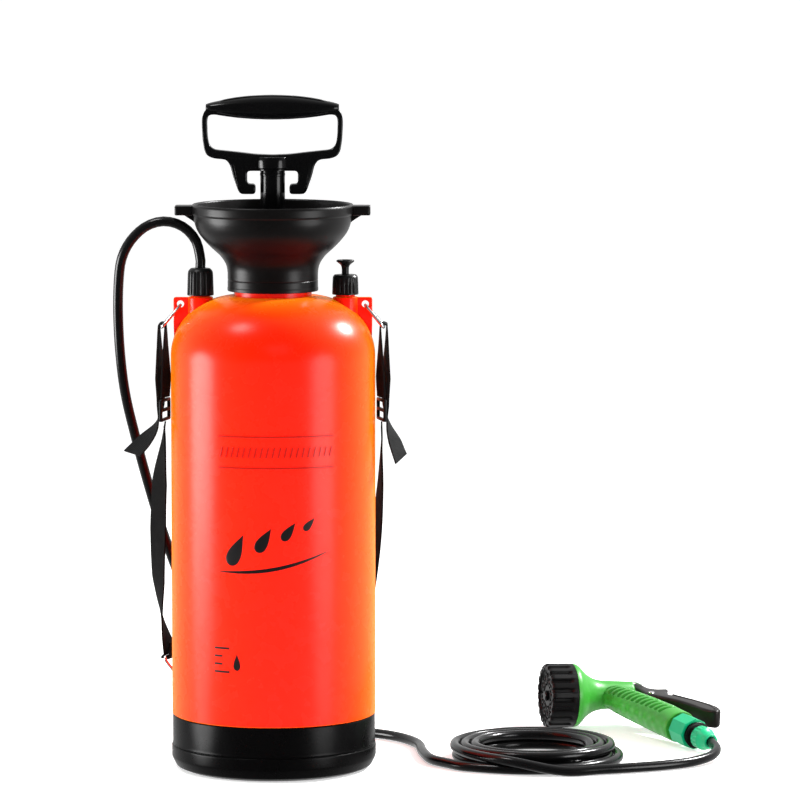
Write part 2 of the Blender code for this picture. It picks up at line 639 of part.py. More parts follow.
def on_gun(obj, origin=None, barrel=False):
    """Puts a piece in the gun's frame, along the barrel if asked, with its origin on its joint."""
    if barrel:
        obj.data.transform(BARREL)
        origin = origin or (0, 0, BARREL_CROSS_Z)
    obj.parent = gun
    if origin:
        put_origin(obj, origin)
    return obj


def barrel_rod(name, start, end, radius, steps=16, aside=(0, 0)):
    return rod(name, BARREL @ Vector((*aside, start)), BARREL @ Vector((*aside, end)), radius, steps)


def make_gun_body():
    rings = []
    for height, centre, half_x, half_y in ((0, 0.0008, 0.0158, 0.0142), (0.002, 0.0008, 0.0164, 0.0146),
                                           (0.012, 0.0010, 0.0166, 0.0146),
                                           (0.030, 0.0015, 0.0170, 0.0146),
                                           (0.060, 0.0007, 0.0160, 0.0142),
                                           (0.085, -0.0005, 0.0148, 0.0136),
                                           (0.104, -0.0012, 0.0142, 0.0128),
                                           (0.1152, -0.0010, 0.0140, 0.0118)):
        slope = tan(BARREL_TILT) if height > 0.11 else 0
        rings.append([(centre + half_x * cos(a), half_y * sin(a), height - half_x * cos(a) * slope)
                      for a in (2 * pi * part / 24 for part in range(24))])
    body = on_gun(lofted("gun_body", rings, GREEN))
    barrel = turned("barrel", [(0.0062, -0.0210), (0.0112, -0.0210), (0.0124, -0.0195), (0.0132, 0),
                               (0.0138, 0.0120), (0.0165, 0.0190), (0.0225, 0.0270),
                               (0.0285, 0.0330), (0.0298, 0.0362), (0.0298, 0.0382),
                               (0.0120, 0.0382), (0.0120, 0.0540), (0.0023, 0.0540),
                               (0.0023, 0.0445), (0, 0.0445), (0, 0.0200), (0.0062, 0.0200)],
                    GREEN, 28)
    barrel.data.transform(BARREL)
    pivot = TRIGGER_PIVOT
    lug = plate("pivot_lug", [(0.0080, 0.0850), (0.0240, 0.0865), (0.0280, 0.0890), (0.0288, 0.0925),
                              (0.0272, 0.0960), (0.0230, 0.0970), (0.0080, 0.1010)], 0.0080, GREEN,
                holes=[circle(pivot.x, pivot.z, 0.0034)])
    water_way = turned("water_way", [(0, -0.0100), (0.0092, -0.0100), (0.0092, 0.0125),
                                     (0.0040, 0.0125), (0.0040, 0.1235), (0, 0.1235)], GREEN, 16)
    join(body, barrel, lug)
    cut(body, water_way)


def make_dial():
    dial = turned("nozzle_dial", [(0.0025, 0.0565), (0.0262, 0.0565), (0.0262, DIAL_BACK),
                                  (DIAL_R, DIAL_BACK), (DIAL_R, 0.0625), (0.0290, 0.0640),
                                  (0.0262, 0.0640), (0.0250, 0.0618), (0.0025, 0.0618)],
                  SATIN_BLACK, 36)
    flutes(dial, 0.0285, 3, 0.0011)
    on_gun(dial, barrel=True)
    for index in range(8):
        angle = 2 * pi * (index + 0.5) / 8
        aside = (0.0165 * cos(angle), 0.0165 * sin(angle))
        cut(dial, barrel_rod(f"pattern_{index}", 0.0500, 0.0700, 0.0032, 8, aside))
    on_gun(turned("dial_screw", [(0, 0.0460), (0.0020, 0.0460), (0.0020, 0.0621), (0.0048, 0.0621),
                                 (0.0044, 0.0645), (0, 0.0650)], STEEL, 16), barrel=True)


def make_valve():
    spring = [(0.0040 * cos(2 * pi * i / 10), 0.0040 * sin(2 * pi * i / 10), -0.0078 + 0.0190 * i / 45)
              for i in range(46)]
    for piece in (
        turned("valve_stem", [(0, -0.0405), (0.0020, -0.0405), (0.0020, 0.0120), (0.0050, 0.0120),
                              (0.0050, 0.0150), (0, 0.0150)], STEEL, 12),
        turned("stem_seal", [(0, 0.0153), (0.0050, 0.0153), (0.0050, 0.0165), (0, 0.0165)],
               RUBBER, 12),
        turned("stem_gland", [(0.0023, -0.0208), (0.0059, -0.0208), (0.0059, -0.0160),
                              (0.0023, -0.0160)], SATIN_BLACK, 16),
        turned("stem_knob", [(0, -0.0440), (0.0040, -0.0440), (0.0048, -0.0430),
                             (0.0048, -0.0352), (0.0042, -0.0345), (0.0023, -0.0345),
                             (0.0023, -0.0412), (0, -0.0412)], SATIN_BLACK, 16),
        wire("stem_spring", spring, 0.0005, STEEL, sides=0),
    ):
        on_gun(piece, barrel=True)


def make_trigger():
    outline = [(25.2, 130.5), (29, 130), (31.2, 125), (31.8, 116), (31.3, 110.5), (34, 106),
               (37, 104.3), (48, 101.5), (43.5, 96.5), (38.5, 90.5), (37.5, 84), (43, 70.5),
               (51, 55), (56.5, 40), (57.5, 27), (54.5, 17), (48.5, 12.5), (42.5, 16), (38.8, 27),
               (37.5, 40), (34, 56), (28, 71), (22.5, 81), (19.2, 86.5), (17.9, 92), (18.6, 97),
               (19.4, 103), (20.5, 110), (22.6, 119)]
    pivot = TRIGGER_PIVOT
    trigger = on_gun(plate("trigger", [(x / 1000, z / 1000) for x, z in outline], 2 * TRIGGER_HALF,
                           SATIN_BLACK, bevel=0.0012), pivot)
    cut(trigger, block("lug_slot", (0.0100, -0.0046, 0.0830), (0.0300, 0.0046, 0.1110)),
        block("stem_slot", (0.0100, -0.0028, 0.1100), (0.0400, 0.0028, 0.1400)),
        rod("pivot_hole", (pivot.x, -0.02, pivot.z), (pivot.x, 0.02, pivot.z), 0.0034, 12))
    pin = rod("trigger_pin", (pivot.x, -0.0096, pivot.z), (pivot.x, 0.0096, pivot.z), 0.0031, 12)
    on_gun(pin, pivot)
    side = [(BAIL_PIVOT.x, -0.0096, BAIL_PIVOT.z), (0.0262, -0.0100, 0.1250),
            (0.0240, -0.0090, 0.1325), (0.0232, -0.0050, 0.1352)]
    around = side + [(x, -y, z) for x, y, z in reversed(side)]
    on_gun(wire("hold_open_clip", around, 0.0007, CHROME, sides=1), BAIL_PIVOT)


def make_connector():
    on_gun(turned("inlet_adapter", [(0.0040, -0.0220), (0.0078, -0.0220), (0.0078, -0.0033),
                                    (0.0112, -0.0033), (0.0112, -0.0003), (0.0088, -0.0003),
                                    (0.0088, 0.0120), (0.0040, 0.0120)], SATIN_BLACK))
    on_gun(turned("adapter_seal", [(0.0081, -0.0150), (0.0088, -0.0150), (0.0088, -0.0132),
                                   (0.0081, -0.0132)], RUBBER))
    sleeve = on_gun(turned("connector_sleeve", [(0, SLEEVE_BOTTOM_Z), (SLEEVE_R, SLEEVE_BOTTOM_Z),
                                                (SLEEVE_R, -0.0036), (0, -0.0036)], TURQUOISE, 8))
    cut(sleeve, rod("sleeve_bore", (0, 0, -0.0400), (0, 0, 0.0100), 0.0112, 24))
    on_gun(turned("connector_body", [(0.0030, -0.0450), (0.0075, -0.0450), (0.0075, -0.0344),
                                     (0.0092, -0.0344), (0.0092, -0.0312), (0.0125, -0.0312),
                                     (0.0125, -0.0300), (0.0108, -0.0296), (0.0108, -0.0042),
                                     (0.0092, -0.0042), (0.0092, -0.0225), (0.0030, -0.0225)],
                  SATIN_BLACK))
    on_gun(turned("hose_nut", [(0.0098, -0.0347), (0.0105, -0.0358), (0.0105, -0.0445),
                               (0.0082, -0.0480), (0.0068, HOSE_NUT_END_Z), (0.0049, HOSE_NUT_END_Z),
                               (0.0049, -0.0470), (0.0079, -0.0455), (0.0079, -0.0347)],
                  TURQUOISE))


# ---------------------------------------------------------------- hose

HOSE_BLACK = ((0.010, 0.010, 0.011), 0.25)
FLOOR_RUN = HOSE_R + GAP
FROM_TANK = [(-0.0644, 0, OUTLET_TOP_Z + GAP), (-0.0644, 0, 0.4568), (-0.0687, 0.0005, 0.4730),
             (-0.0804, 0.0015, 0.4850), (-0.0964, 0.0030, 0.4893), (-0.1124, 0.0050, 0.4848),
             (-0.1256, 0.0080, 0.4730), (-0.1340, 0.0110, 0.4580), (-0.1375, 0.0150, 0.4400),
             (-0.1388, 0.0190, 0.4080), (-0.1375, 0.0250, 0.3700), (-0.1335, 0.0340, 0.3320),
             (-0.1255, 0.0460, 0.2930), (-0.1150, 0.0620, 0.2480), (-0.1030, 0.0790, 0.2030),
             (-0.0880, 0.0970, 0.1560), (-0.0700, 0.1140, 0.1090), (-0.0480, 0.1310, 0.0650),
             (-0.0200, 0.1480, 0.0290), (0.0120, 0.1580, 0.0105), (0.0450, 0.1600, FLOOR_RUN),
             (0.0800, 0.1500, FLOOR_RUN), (0.1110, 0.1250, FLOOR_RUN), (0.1290, 0.0890, FLOOR_RUN),
             (0.1335, 0.0480, FLOOR_RUN), (0.1410, 0.0080, FLOOR_RUN), (0.1570, -0.0158, FLOOR_RUN),
             (0.1732, -0.0320, FLOOR_RUN)]
TO_GUN = [(0.2577, -0.0546, FLOOR_RUN), (0.2910, -0.0465, FLOOR_RUN), (0.3220, -0.0365, FLOOR_RUN),
          (0.3510, -0.0240, FLOOR_RUN), (0.3760, -0.0080, 0.0052), (0.3930, 0.0120, 0.0070),
          (0.3990, 0.0330, 0.0095), (0.3958, 0.0545, 0.0120)]


def make_hose():
    wire("hose_from_tank", smooth(FROM_TANK, 0.0230), HOSE_R, HOSE_BLACK)
    wire("hose_to_gun", smooth(TO_GUN, 0.0210), HOSE_R, HOSE_BLACK)
    coil = turned("hose_coil", [(COIL_HOLE_R, GAP), (COIL_R, GAP), (COIL_R, COIL_TOP_Z),
                                (COIL_HOLE_R, COIL_TOP_Z)], HOSE_BLACK, 32)
    coil.location = (*COIL_CENTRE, 0)


# ---------------------------------------------------------------- build

make_tank()
make_base()
make_funnel()
make_pump_cap()
make_pump_cylinder()
make_piston()
make_handle()
make_outlet()
make_relief_valve()
make_straps()
place_gun()
make_gun_body()
make_dial()
make_valve()
make_trigger()
make_connector()
make_hose()
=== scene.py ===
"""Looks of the pump sprayer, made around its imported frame.

Metres, +Z up, the tank on the Z axis, its front facing -Y. Pieces that stand for a CAD node follow that
node's sizes with finer curves. The gun's pieces are made in the gun's own frame (Z up the handle, X
towards the trigger) and moved to where the gun lies.
"""

import json
from math import asin, atan2, cos, hypot, pi, radians, sin, sqrt, tan

import bmesh
import bpy
from mathutils import Matrix, Vector

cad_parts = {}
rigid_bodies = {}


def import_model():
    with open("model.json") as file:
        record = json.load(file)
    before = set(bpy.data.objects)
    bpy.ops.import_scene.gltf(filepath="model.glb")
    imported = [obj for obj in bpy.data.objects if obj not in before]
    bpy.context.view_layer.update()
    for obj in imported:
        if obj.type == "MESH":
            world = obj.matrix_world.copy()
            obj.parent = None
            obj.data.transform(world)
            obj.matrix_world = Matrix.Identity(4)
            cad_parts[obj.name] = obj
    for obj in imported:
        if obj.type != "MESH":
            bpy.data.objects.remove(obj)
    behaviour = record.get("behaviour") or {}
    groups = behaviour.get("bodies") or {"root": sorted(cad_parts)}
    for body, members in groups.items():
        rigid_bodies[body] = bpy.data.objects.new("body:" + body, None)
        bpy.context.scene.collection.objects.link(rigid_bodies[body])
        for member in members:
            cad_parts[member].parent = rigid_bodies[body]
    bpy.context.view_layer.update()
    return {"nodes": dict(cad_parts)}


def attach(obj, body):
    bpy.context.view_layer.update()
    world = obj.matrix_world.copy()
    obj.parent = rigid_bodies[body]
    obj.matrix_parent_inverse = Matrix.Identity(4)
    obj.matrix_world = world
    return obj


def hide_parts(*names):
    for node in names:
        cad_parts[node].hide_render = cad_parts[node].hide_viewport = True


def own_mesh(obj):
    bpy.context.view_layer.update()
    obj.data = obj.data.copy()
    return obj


for old in list(bpy.data.objects):
    bpy.data.objects.remove(old, do_unlink=True)
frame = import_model()
NODES = frame["nodes"]

# ---------------------------------------------------------------- materials


def shader_of(name):
    made = bpy.data.materials.new(name)
    made.use_nodes = True
    return made, made.node_tree.nodes["Principled BSDF"]


def link(made, output, socket):
    made.node_tree.links.new(output, socket)


def add_node(made, kind, **values):
    """A shader node. Names that end in _ are its own settings, the others its sockets."""
    node = made.node_tree.nodes.new(kind)
    for key, value in values.items():
        if key.endswith("_"):
            setattr(node, key[:-1], value)
        else:
            node.inputs[key.replace("_", " ")].default_value = value
    return node


def noise(made, scale, detail=3.0):
    """Noise in the piece's own metres."""
    coords = add_node(made, "ShaderNodeTexCoord")
    found = add_node(made, "ShaderNodeTexNoise", Scale=scale, Detail=detail)
    link(made, coords.outputs["Object"], found.inputs["Vector"])
    return found.outputs["Fac"]


def spread(made, value, low, high):
    ranged = add_node(made, "ShaderNodeMapRange", To_Min=low, To_Max=high)
    link(made, value, ranged.inputs["Value"])
    return ranged.outputs["Result"]


def bumped(made, shader, heights):
    """Chains bumps of (height output, distance in metres, strength)."""
    normal = None
    for height, distance, strength in heights:
        bump = add_node(made, "ShaderNodeBump", Distance=distance, Strength=strength)
        link(made, height, bump.inputs["Height"])
        if normal:
            link(made, normal, bump.inputs["Normal"])
        normal = bump.outputs["Normal"]
    link(made, normal, shader.inputs["Normal"])


def plastic(name, colour, roughness, grain=900, depth=0.00004, vary=0.06, tone=0.12, **sockets):
    """Moulded plastic: fine grain, slow waves in the wall, and patches of different gloss and tone."""
    made, shader = shader_of(name)
    darker = tuple(value * (1 - tone) for value in colour)
    mixed = add_node(made, "ShaderNodeMix", data_type_="RGBA")
    mixed.inputs[6].default_value = (*colour, 1)
    mixed.inputs[7].default_value = (*darker, 1)
    link(made, spread(made, noise(made, 35, 5), -0.4, 1.2), mixed.inputs[0])
    link(made, mixed.outputs[2], shader.inputs["Base Color"])
    link(made, spread(made, noise(made, 60, 4), roughness - vary, roughness + vary),
         shader.inputs["Roughness"])
    bumped(made, shader, [(noise(made, grain, 2), depth, 0.35), (noise(made, 22, 1), 0.0006, 0.10)])
    for socket, value in sockets.items():
        shader.inputs[socket.replace("_", " ")].default_value = value
    return made


def metal(name, colour, roughness):
    made, shader = shader_of(name)
    shader.inputs["Base Color"].default_value = (*colour, 1)
    shader.inputs["Metallic"].default_value = 1.0
    link(made, spread(made, noise(made, 300, 5), roughness - 0.06, roughness + 0.12),
         shader.inputs["Roughness"])
    bumped(made, shader, [(noise(made, 700, 3), 0.00003, 0.3)])
    return made


def webbing(name, colour):
    """Woven polypropylene tape: ribs across it, yarns along it and a bound edge, from its UVs in metres."""
    made, shader = shader_of(name)
    coords = add_node(made, "ShaderNodeUVMap")
    ribs = add_node(made, "ShaderNodeTexWave", wave_type_="BANDS", bands_direction_="Y", Scale=260,
                    Distortion=0.6, Detail=1.0)
    yarns = add_node(made, "ShaderNodeTexWave", wave_type_="BANDS", bands_direction_="X", Scale=200,
                     Distortion=0.4, Detail=1.0)
    for wave in (ribs, yarns):
        link(made, coords.outputs["UV"], wave.inputs["Vector"])
    woven = add_node(made, "ShaderNodeMath", operation_="MULTIPLY")
    link(made, ribs.outputs["Fac"], woven.inputs[0])
    link(made, yarns.outputs["Fac"], woven.inputs[1])
    mixed = add_node(made, "ShaderNodeMix", data_type_="RGBA")
    mixed.inputs[6].default_value = (*(value * 0.35 for value in colour), 1)
    mixed.inputs[7].default_value = (*(value * 1.5 for value in colour), 1)
    link(made, woven.outputs["Value"], mixed.inputs[0])
    link(made, mixed.outputs[2], shader.inputs["Base Color"])
    link(made, spread(made, noise(made, 90, 4), 0.62, 0.86), shader.inputs["Roughness"])
    bumped(made, shader, [(woven.outputs["Value"], 0.0004, 0.8), (noise(made, 2500, 2), 0.0001, 0.4)])
    shader.inputs["Sheen Weight"].default_value = 0.01
    shader.inputs["Sheen Roughness"].default_value = 0.4
    shader.inputs["Specular IOR Level"].default_value = 0.09
    return made


RED = plastic("tank_red", (0.90, 0.004, 0.0003), 0.27, grain=600, vary=0.05, tone=0.06,
              Sheen_Weight=1.0, Sheen_Roughness=0.46, Sheen_Tint=(1.0, 0.36, 0.01, 1),
              Specular_IOR_Level=0.15)
# A darker red for the raised lines and bars, which are bare tank plastic: painted shade along the embossing.
RAISED_SHADED_RED = plastic("raised_red_painted_shade", (0.40, 0.004, 0.0005), 0.32, tone=0.10, Specular_IOR_Level=0.2)
BLACK = plastic("satin_black", (0.0040, 0.0040, 0.0042), 0.34, tone=0.25, Specular_IOR_Level=0.20)
FUNNEL_BLACK = plastic("funnel_black", (0.0028, 0.0024, 0.0024), 0.35, depth=0.00006, tone=0.25,
                       Specular_IOR_Level=0.18)
GLOSS_BLACK = plastic("gloss_black", (0.0020, 0.0020, 0.0022), 0.17, vary=0.04, tone=0.2,
                      Specular_IOR_Level=0.18)
BOOT_BLACK = plastic("boot_black", (0.0016, 0.0015, 0.0016), 0.28, depth=0.00005, tone=0.3,
                     Specular_IOR_Level=0.06)
HOSE_BLACK = plastic("hose_black", (0.0028, 0.0028, 0.0030), 0.22, grain=400, vary=0.05, tone=0.3,
                     Specular_IOR_Level=0.24)
TRIGGER_BLACK = plastic("trigger_black", (0.0075, 0.0058, 0.0050), 0.33, tone=0.3,
                        Specular_IOR_Level=0.25)
GREEN = plastic("gun_green", (0.036, 0.290, 0.028), 0.38, tone=0.10, Specular_IOR_Level=0.4)
# The darker green for faces deep in the grip's slots: painted shade in the slots' recesses.
SLOT_SHADE_GREEN = plastic("slot_painted_shade", (0.004, 0.070, 0.004), 0.55, tone=0.2)
TURQUOISE = plastic("turquoise", (0.0, 0.40, 0.165), 0.36, tone=0.08, Specular_IOR_Level=0.4)
PRINT = plastic("print_black", (0.0060, 0.0055, 0.0060), 0.45, tone=0.3, Specular_IOR_Level=0.2)
RUBBER = plastic("rubber", (0.018, 0.018, 0.018), 0.70, tone=0.3)
CLEAR = plastic("natural_plastic", (0.62, 0.65, 0.60), 0.35, tone=0.08, Subsurface_Weight=0.2,
                Subsurface_Scale=0.01)
CHROME = metal("chrome", (0.72, 0.72, 0.74), 0.14)
STEEL = metal("steel", (0.60, 0.60, 0.61), 0.30)
WEBBING = webbing("webbing_black", (0.0024, 0.0020, 0.0020))
WEBBING_GREY = webbing("webbing_grey", (0.0095, 0.0098, 0.0098))

LEFT_AS_CAD = {
    RUBBER: ("neck_seal", "pump_gasket", "check_valve", "piston_seal", "outlet_gasket", "relief_gasket",
             "relief_seal", "stem_seal", "adapter_seal"),
    CLEAR: ("pump_cylinder", "valve_retainer", "piston", "dip_tube", "dip_filter"),
    STEEL: ("piston_screw", "handle_pin", "valve_stem", "stem_spring"),
    BLACK: ("outlet_nipple", "stem_gland"),
}
for finish, names in LEFT_AS_CAD.items():
    for name in names:
        NODES[name].data.materials.clear()
        NODES[name].data.materials.append(finish)

# ---------------------------------------------------------------- shapes


def mm(*points):
    """Points given in millimetres, as a list in metres."""
    return [tuple(round(value / 1000, 6) for value in point) for point in points]


def place(name, mesh, made_of, body, stands_for=(), angle=32):
    """Puts a mesh in the scene on its body, shaded smooth with its edges kept."""
    obj = bpy.data.objects.new(name, mesh)
    bpy.context.scene.collection.objects.link(obj)
    mesh.materials.clear()
    mesh.materials.append(made_of)
    mesh.shade_smooth()
    mesh.set_sharp_from_angle(angle=radians(angle))
    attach(obj, body)
    if stands_for:
        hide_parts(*stands_for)
    return obj


def mesh_of(name, bm):
    bmesh.ops.recalc_face_normals(bm, faces=bm.faces)
    mesh = bpy.data.meshes.new(name)
    bm.to_mesh(mesh)
    bm.free()
    return mesh


def rounded(points, radius, closed=True, parts=3):
    """The same outline with each corner eased by a small curve."""
    made = []
    count = len(points)
    for index, corner in enumerate(points):
        here = Vector(corner)
        if not closed and index in (0, count - 1):
            made.append(tuple(here))
            continue
        before = Vector(points[index - 1])
        after = Vector(points[(index + 1) % count])
        reach_in = min(radius, (before - here).length * 0.45)
        reach_out = min(radius, (after - here).length * 0.45)
        start = here + (before - here).normalized() * reach_in
        end = here + (after - here).normalized() * reach_out
        for part in range(parts + 1):
            t = part / parts
            made.append(tuple(start * (1 - t) ** 2 + here * 2 * t * (1 - t) + end * t * t))
    return made


def turned(section, steps=96, close=True):
    """A mesh turned about Z from (radius, height) points round its section."""
    bm = bmesh.new()
    verts = [bm.verts.new((max(radius, 0), 0, height)) for radius, height in section]
    edges = []
    for index in range(len(verts) if close else len(verts) - 1):
        vert = verts[index]
        after = verts[(index + 1) % len(verts)]
        if vert.co.x > 0 or after.co.x > 0:
            edges.append(bm.edges.new((vert, after)))
    bmesh.ops.spin(bm, geom=verts + edges, cent=(0, 0, 0), axis=(0, 0, 1), angle=2 * pi, steps=steps,
                   use_merge=True)
    bmesh.ops.remove_doubles(bm, verts=bm.verts, dist=1e-6)
    return mesh_of("turned", bm)


def plate(outline, depth, bevel, holes=(), resolution=3):
    """A flat mesh in the XZ plane, centred on Y, with rounded edges."""
    curve = bpy.data.curves.new("plate", "CURVE")
    curve.dimensions = "2D"
    curve.fill_mode = "BOTH"
    curve.extrude = depth / 2 - bevel
    curve.bevel_depth = bevel
    curve.bevel_resolution = resolution
    curve.offset = -bevel
    for points in (outline, *holes):
        spline = curve.splines.new("POLY")
        spline.points.add(len(points) - 1)
        for point, (x, z) in zip(spline.points, points):
            point.co = (x, z, 0, 1)
        spline.use_cyclic_u = True
    flat = bpy.data.objects.new("plate", curve)
    bpy.context.scene.collection.objects.link(flat)
    bpy.context.view_layer.update()
    mesh = bpy.data.meshes.new_from_object(flat.evaluated_get(bpy.context.evaluated_depsgraph_get()))
    bpy.data.objects.remove(flat)
    mesh.transform(Matrix.Rotation(pi / 2, 4, "X"))
    bm = bmesh.new()
    bm.from_mesh(mesh)
    bmesh.ops.remove_doubles(bm, verts=bm.verts, dist=1e-6)
    return mesh_of("plate", bm)


def lofted(rings, uv=None):
    """A closed skin over rings of as many points each. uv is where each point and each ring lies on tape."""
    bm = bmesh.new()
    loops = [[bm.verts.new(point) for point in ring] for ring in rings]
    count = len(rings[0])
    layer = bm.loops.layers.uv.new("UVMap") if uv else None
    for row, (lower, upper) in enumerate(zip(loops, loops[1:])):
        for index in range(count):
            after = (index + 1) % count
            face = bm.faces.new((lower[index], lower[after], upper[after], upper[index]))
            if layer:
                across, along = uv
                corners = ((index, row), (index + 1, row), (index + 1, row + 1), (index, row + 1))
                for loop, (column, line) in zip(face.loops, corners):
                    loop[layer].uv = (across[column], along[line])
    bm.faces.new(loops[0])
    bm.faces.new(loops[-1])
    return mesh_of("lofted", bm)


def fluted(mesh, count, low, high, beyond, depth, sharp=2.0):
    """Presses rounded valleys into the outer skin between two heights, for a finger grip."""
    for vert in mesh.vertices:
        radius = hypot(vert.co.x, vert.co.y)
        if radius < beyond or not low <= vert.co.z <= high:
            continue
        wave = abs(sin(atan2(vert.co.y, vert.co.x) * count / 2)) ** sharp
        share = 1 - depth * wave / radius
        vert.co.x *= share
        vert.co.y *= share


def smooth(points, step):
    """Points an even step apart on a smooth curve through these points."""
    places = [Vector(point) for point in points]
    places = [2 * places[0] - places[1], *places, 2 * places[-1] - places[-2]]
    fine = []
    for before, start, end, after in zip(places, places[1:], places[2:], places[3:]):
        for part in range(24):
            t = part / 24
            fine.append(0.5 * (2 * start + (end - before) * t
                               + (2 * before - 5 * start + 4 * end - after) * t * t
                               + (3 * start - before - 3 * end + after) * t * t * t))
    fine.append(places[-2])
    total = sum((b - a).length for a, b in zip(fine, fine[1:]))
    count = max(2, round(total / step))
    spaced = [fine[0]]
    walked = 0.0
    for a, b in zip(fine, fine[1:]):
        length = (b - a).length
        while len(spaced) < count and walked + length >= total * len(spaced) / count:
            spaced.append(a.lerp(b, (total * len(spaced) / count - walked) / length))
        walked += length
    spaced.append(fine[-1])
    return spaced


def wire(name, points, radius, made_of, body, closed=False, stands_for=(), sides=4):
    """A round wire, tube or hose through these points."""
    curve = bpy.data.curves.new(name, "CURVE")
    curve.dimensions = "3D"
    curve.bevel_depth = radius
    curve.bevel_resolution = sides
    curve.use_fill_caps = not closed
    spline = curve.splines.new("POLY")
    spline.points.add(len(points) - 1)
    for point, at in zip(spline.points, points):
        point.co = (*at, 1)
    spline.use_cyclic_u = closed
    spline.use_smooth = True
    obj = bpy.data.objects.new(name, curve)
    bpy.context.scene.collection.objects.link(obj)
    curve.materials.append(made_of)
    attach(obj, body)
    if stands_for:
        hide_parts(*stands_for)
    return obj


def circle(x, z, radius, count=32):
    turns = [2 * pi * part / count for part in range(count)]
    return [(x + radius * cos(a), z + radius * sin(a)) for a in turns]


SPRAYER = "sprayer"
SIDES = ((-1, "left"), (1, "right"))

# ---------------------------------------------------------------- camera, light and floor

CAMERA_AIM = Vector((0.1130, 0, 0.3300))
CAMERA_PLACE = Vector((0.1130, -4.5000, 0.8000))
VIEW_WIDTH = 0.7128  # metres across the picture at the tank's axis
SHINES = (  # the lamps that show as bands and spots on the tank: place, aim, size and watts
    ("left_box", (-1.70, -0.16, 0.16), (0, 0, 0.25), (0.94, 0.92), 44),
    ("right_box", (1.44, -0.90, 0.20), (0, 0, 0.25), (0.80, 0.95), 17),
    ("right_spot", (1.25, 0.60, 1.27), (0.06, 0, 0.39), (0.36, 0.36), 60),
    ("left_spot", (-0.68, -0.38, 1.70), (0, 0, 0.39), (0.44, 0.44), 11),
)


def make_camera():
    lens = bpy.data.cameras.new("camera")
    camera = bpy.data.objects.new("camera", lens)
    bpy.context.scene.collection.objects.link(camera)
    look = CAMERA_AIM - CAMERA_PLACE
    camera.location = CAMERA_PLACE
    camera.rotation_euler = look.to_track_quat("-Z", "Y").to_euler()
    lens.sensor_width = 36
    lens.lens = lens.sensor_width * look.length / VIEW_WIDTH
    bpy.context.scene.camera = camera


def softbox(name, at, aim, size, watts, shape):
    light = bpy.data.lights.new(name, "AREA")
    light.shape = shape
    light.size, light.size_y = size
    light.energy = watts
    lamp = bpy.data.objects.new(name, light)
    bpy.context.scene.collection.objects.link(lamp)
    lamp.location = at
    lamp.rotation_euler = (Vector(aim) - Vector(at)).to_track_quat("-Z", "Y").to_euler()
    return lamp


def make_light():
    for lamp in SHINES:
        softbox(*lamp, "ELLIPSE")
    fill = softbox("front_fill", (0.30, -3.20, 1.90), (0.1, 0, 0.25), (1.8, 1.2), 36, "RECTANGLE")
    fill.visible_glossy = False  # it lights the front without a shine of its own
    world = bpy.data.worlds.new("studio")
    world.use_nodes = True
    tree = world.node_tree
    back = tree.nodes["Background"]
    back.inputs["Color"].default_value = (1, 1, 1, 1)
    place_of = tree.nodes.new("ShaderNodeTexCoord")
    split = tree.nodes.new("ShaderNodeSeparateXYZ")
    tree.links.new(place_of.outputs["Generated"], split.inputs["Vector"])
    dim = tree.nodes.new("ShaderNodeMapRange")  # the studio is darker where the camera stands
    for socket, value in (("From Min", -0.75), ("From Max", 0.35), ("To Min", 0.09), ("To Max", 0.85)):
        dim.inputs[socket].default_value = value
    tree.links.new(split.outputs["Y"], dim.inputs["Value"])
    seen = tree.nodes.new("ShaderNodeLightPath")
    level = tree.nodes.new("ShaderNodeMix")
    tree.links.new(seen.outputs["Is Camera Ray"], level.inputs["Factor"])
    tree.links.new(dim.outputs["Result"], level.inputs["A"])
    level.inputs["B"].default_value = 1.0
    tree.links.new(level.outputs["Result"], back.inputs["Strength"])
    bpy.context.scene.world = world
    bpy.context.scene.view_settings.view_transform = "Standard"


def make_floor():
    bm = bmesh.new()
    bmesh.ops.create_grid(bm, x_segments=1, y_segments=1, size=60)
    floor = bpy.data.objects.new("floor", mesh_of("floor", bm))
    bpy.context.scene.collection.objects.link(floor)
    floor.location.z = -0.0002
    made, shader = shader_of("floor_white")
    for socket, value in (("Base Color", (0.90, 0.90, 0.90, 1)), ("Roughness", 0.75),
                          ("Specular IOR Level", 0.2), ("Emission Color", (1, 1, 1, 1)),
                          ("Emission Strength", 0.50)):
        shader.inputs[socket].default_value = value
    floor.data.materials.append(made)
    floor.visible_glossy = False  # a cut-out on white: nothing mirrors the floor


# ---------------------------------------------------------------- hose

HOSE_R = 0.0045
FLOOR_RUN = 0.0048
FROM_TANK = [(-0.0644, 0, 0.4483), (-0.0644, 0, 0.4568), (-0.0687, 0.0005, 0.4730),
             (-0.0804, 0.0015, 0.4850), (-0.0964, 0.0030, 0.4893), (-0.1124, 0.0050, 0.4848),
             (-0.1256, 0.0080, 0.4730), (-0.1340, 0.0110, 0.4580), (-0.1375, 0.0150, 0.4400),
             (-0.1388, 0.0190, 0.4080), (-0.1375, 0.0250, 0.3700), (-0.1335, 0.0340, 0.3320),
             (-0.1255, 0.0460, 0.2930), (-0.1150, 0.0620, 0.2480), (-0.1030, 0.0790, 0.2030),
             (-0.0880, 0.0970, 0.1560), (-0.0700, 0.1140, 0.1090), (-0.0480, 0.1310, 0.0650),
             (-0.0200, 0.1480, 0.0290), (0.0120, 0.1580, 0.0105), (0.0450, 0.1600, FLOOR_RUN),
             (0.0800, 0.1500, FLOOR_RUN), (0.1110, 0.1250, FLOOR_RUN), (0.1290, 0.0890, FLOOR_RUN),
             (0.1335, 0.0480, FLOOR_RUN), (0.1410, 0.0080, FLOOR_RUN), (0.1570, -0.0158, FLOOR_RUN),
             (0.1732, -0.0320, FLOOR_RUN)]
TO_GUN = [(0.2577, -0.0546, FLOOR_RUN), (0.2910, -0.0465, FLOOR_RUN), (0.3220, -0.0365, FLOOR_RUN),
          (0.3510, -0.0240, FLOOR_RUN), (0.3760, -0.0080, 0.0052), (0.3930, 0.0120, 0.0070),
          (0.3990, 0.0330, 0.0095), (0.3958, 0.0545, 0.0120)]
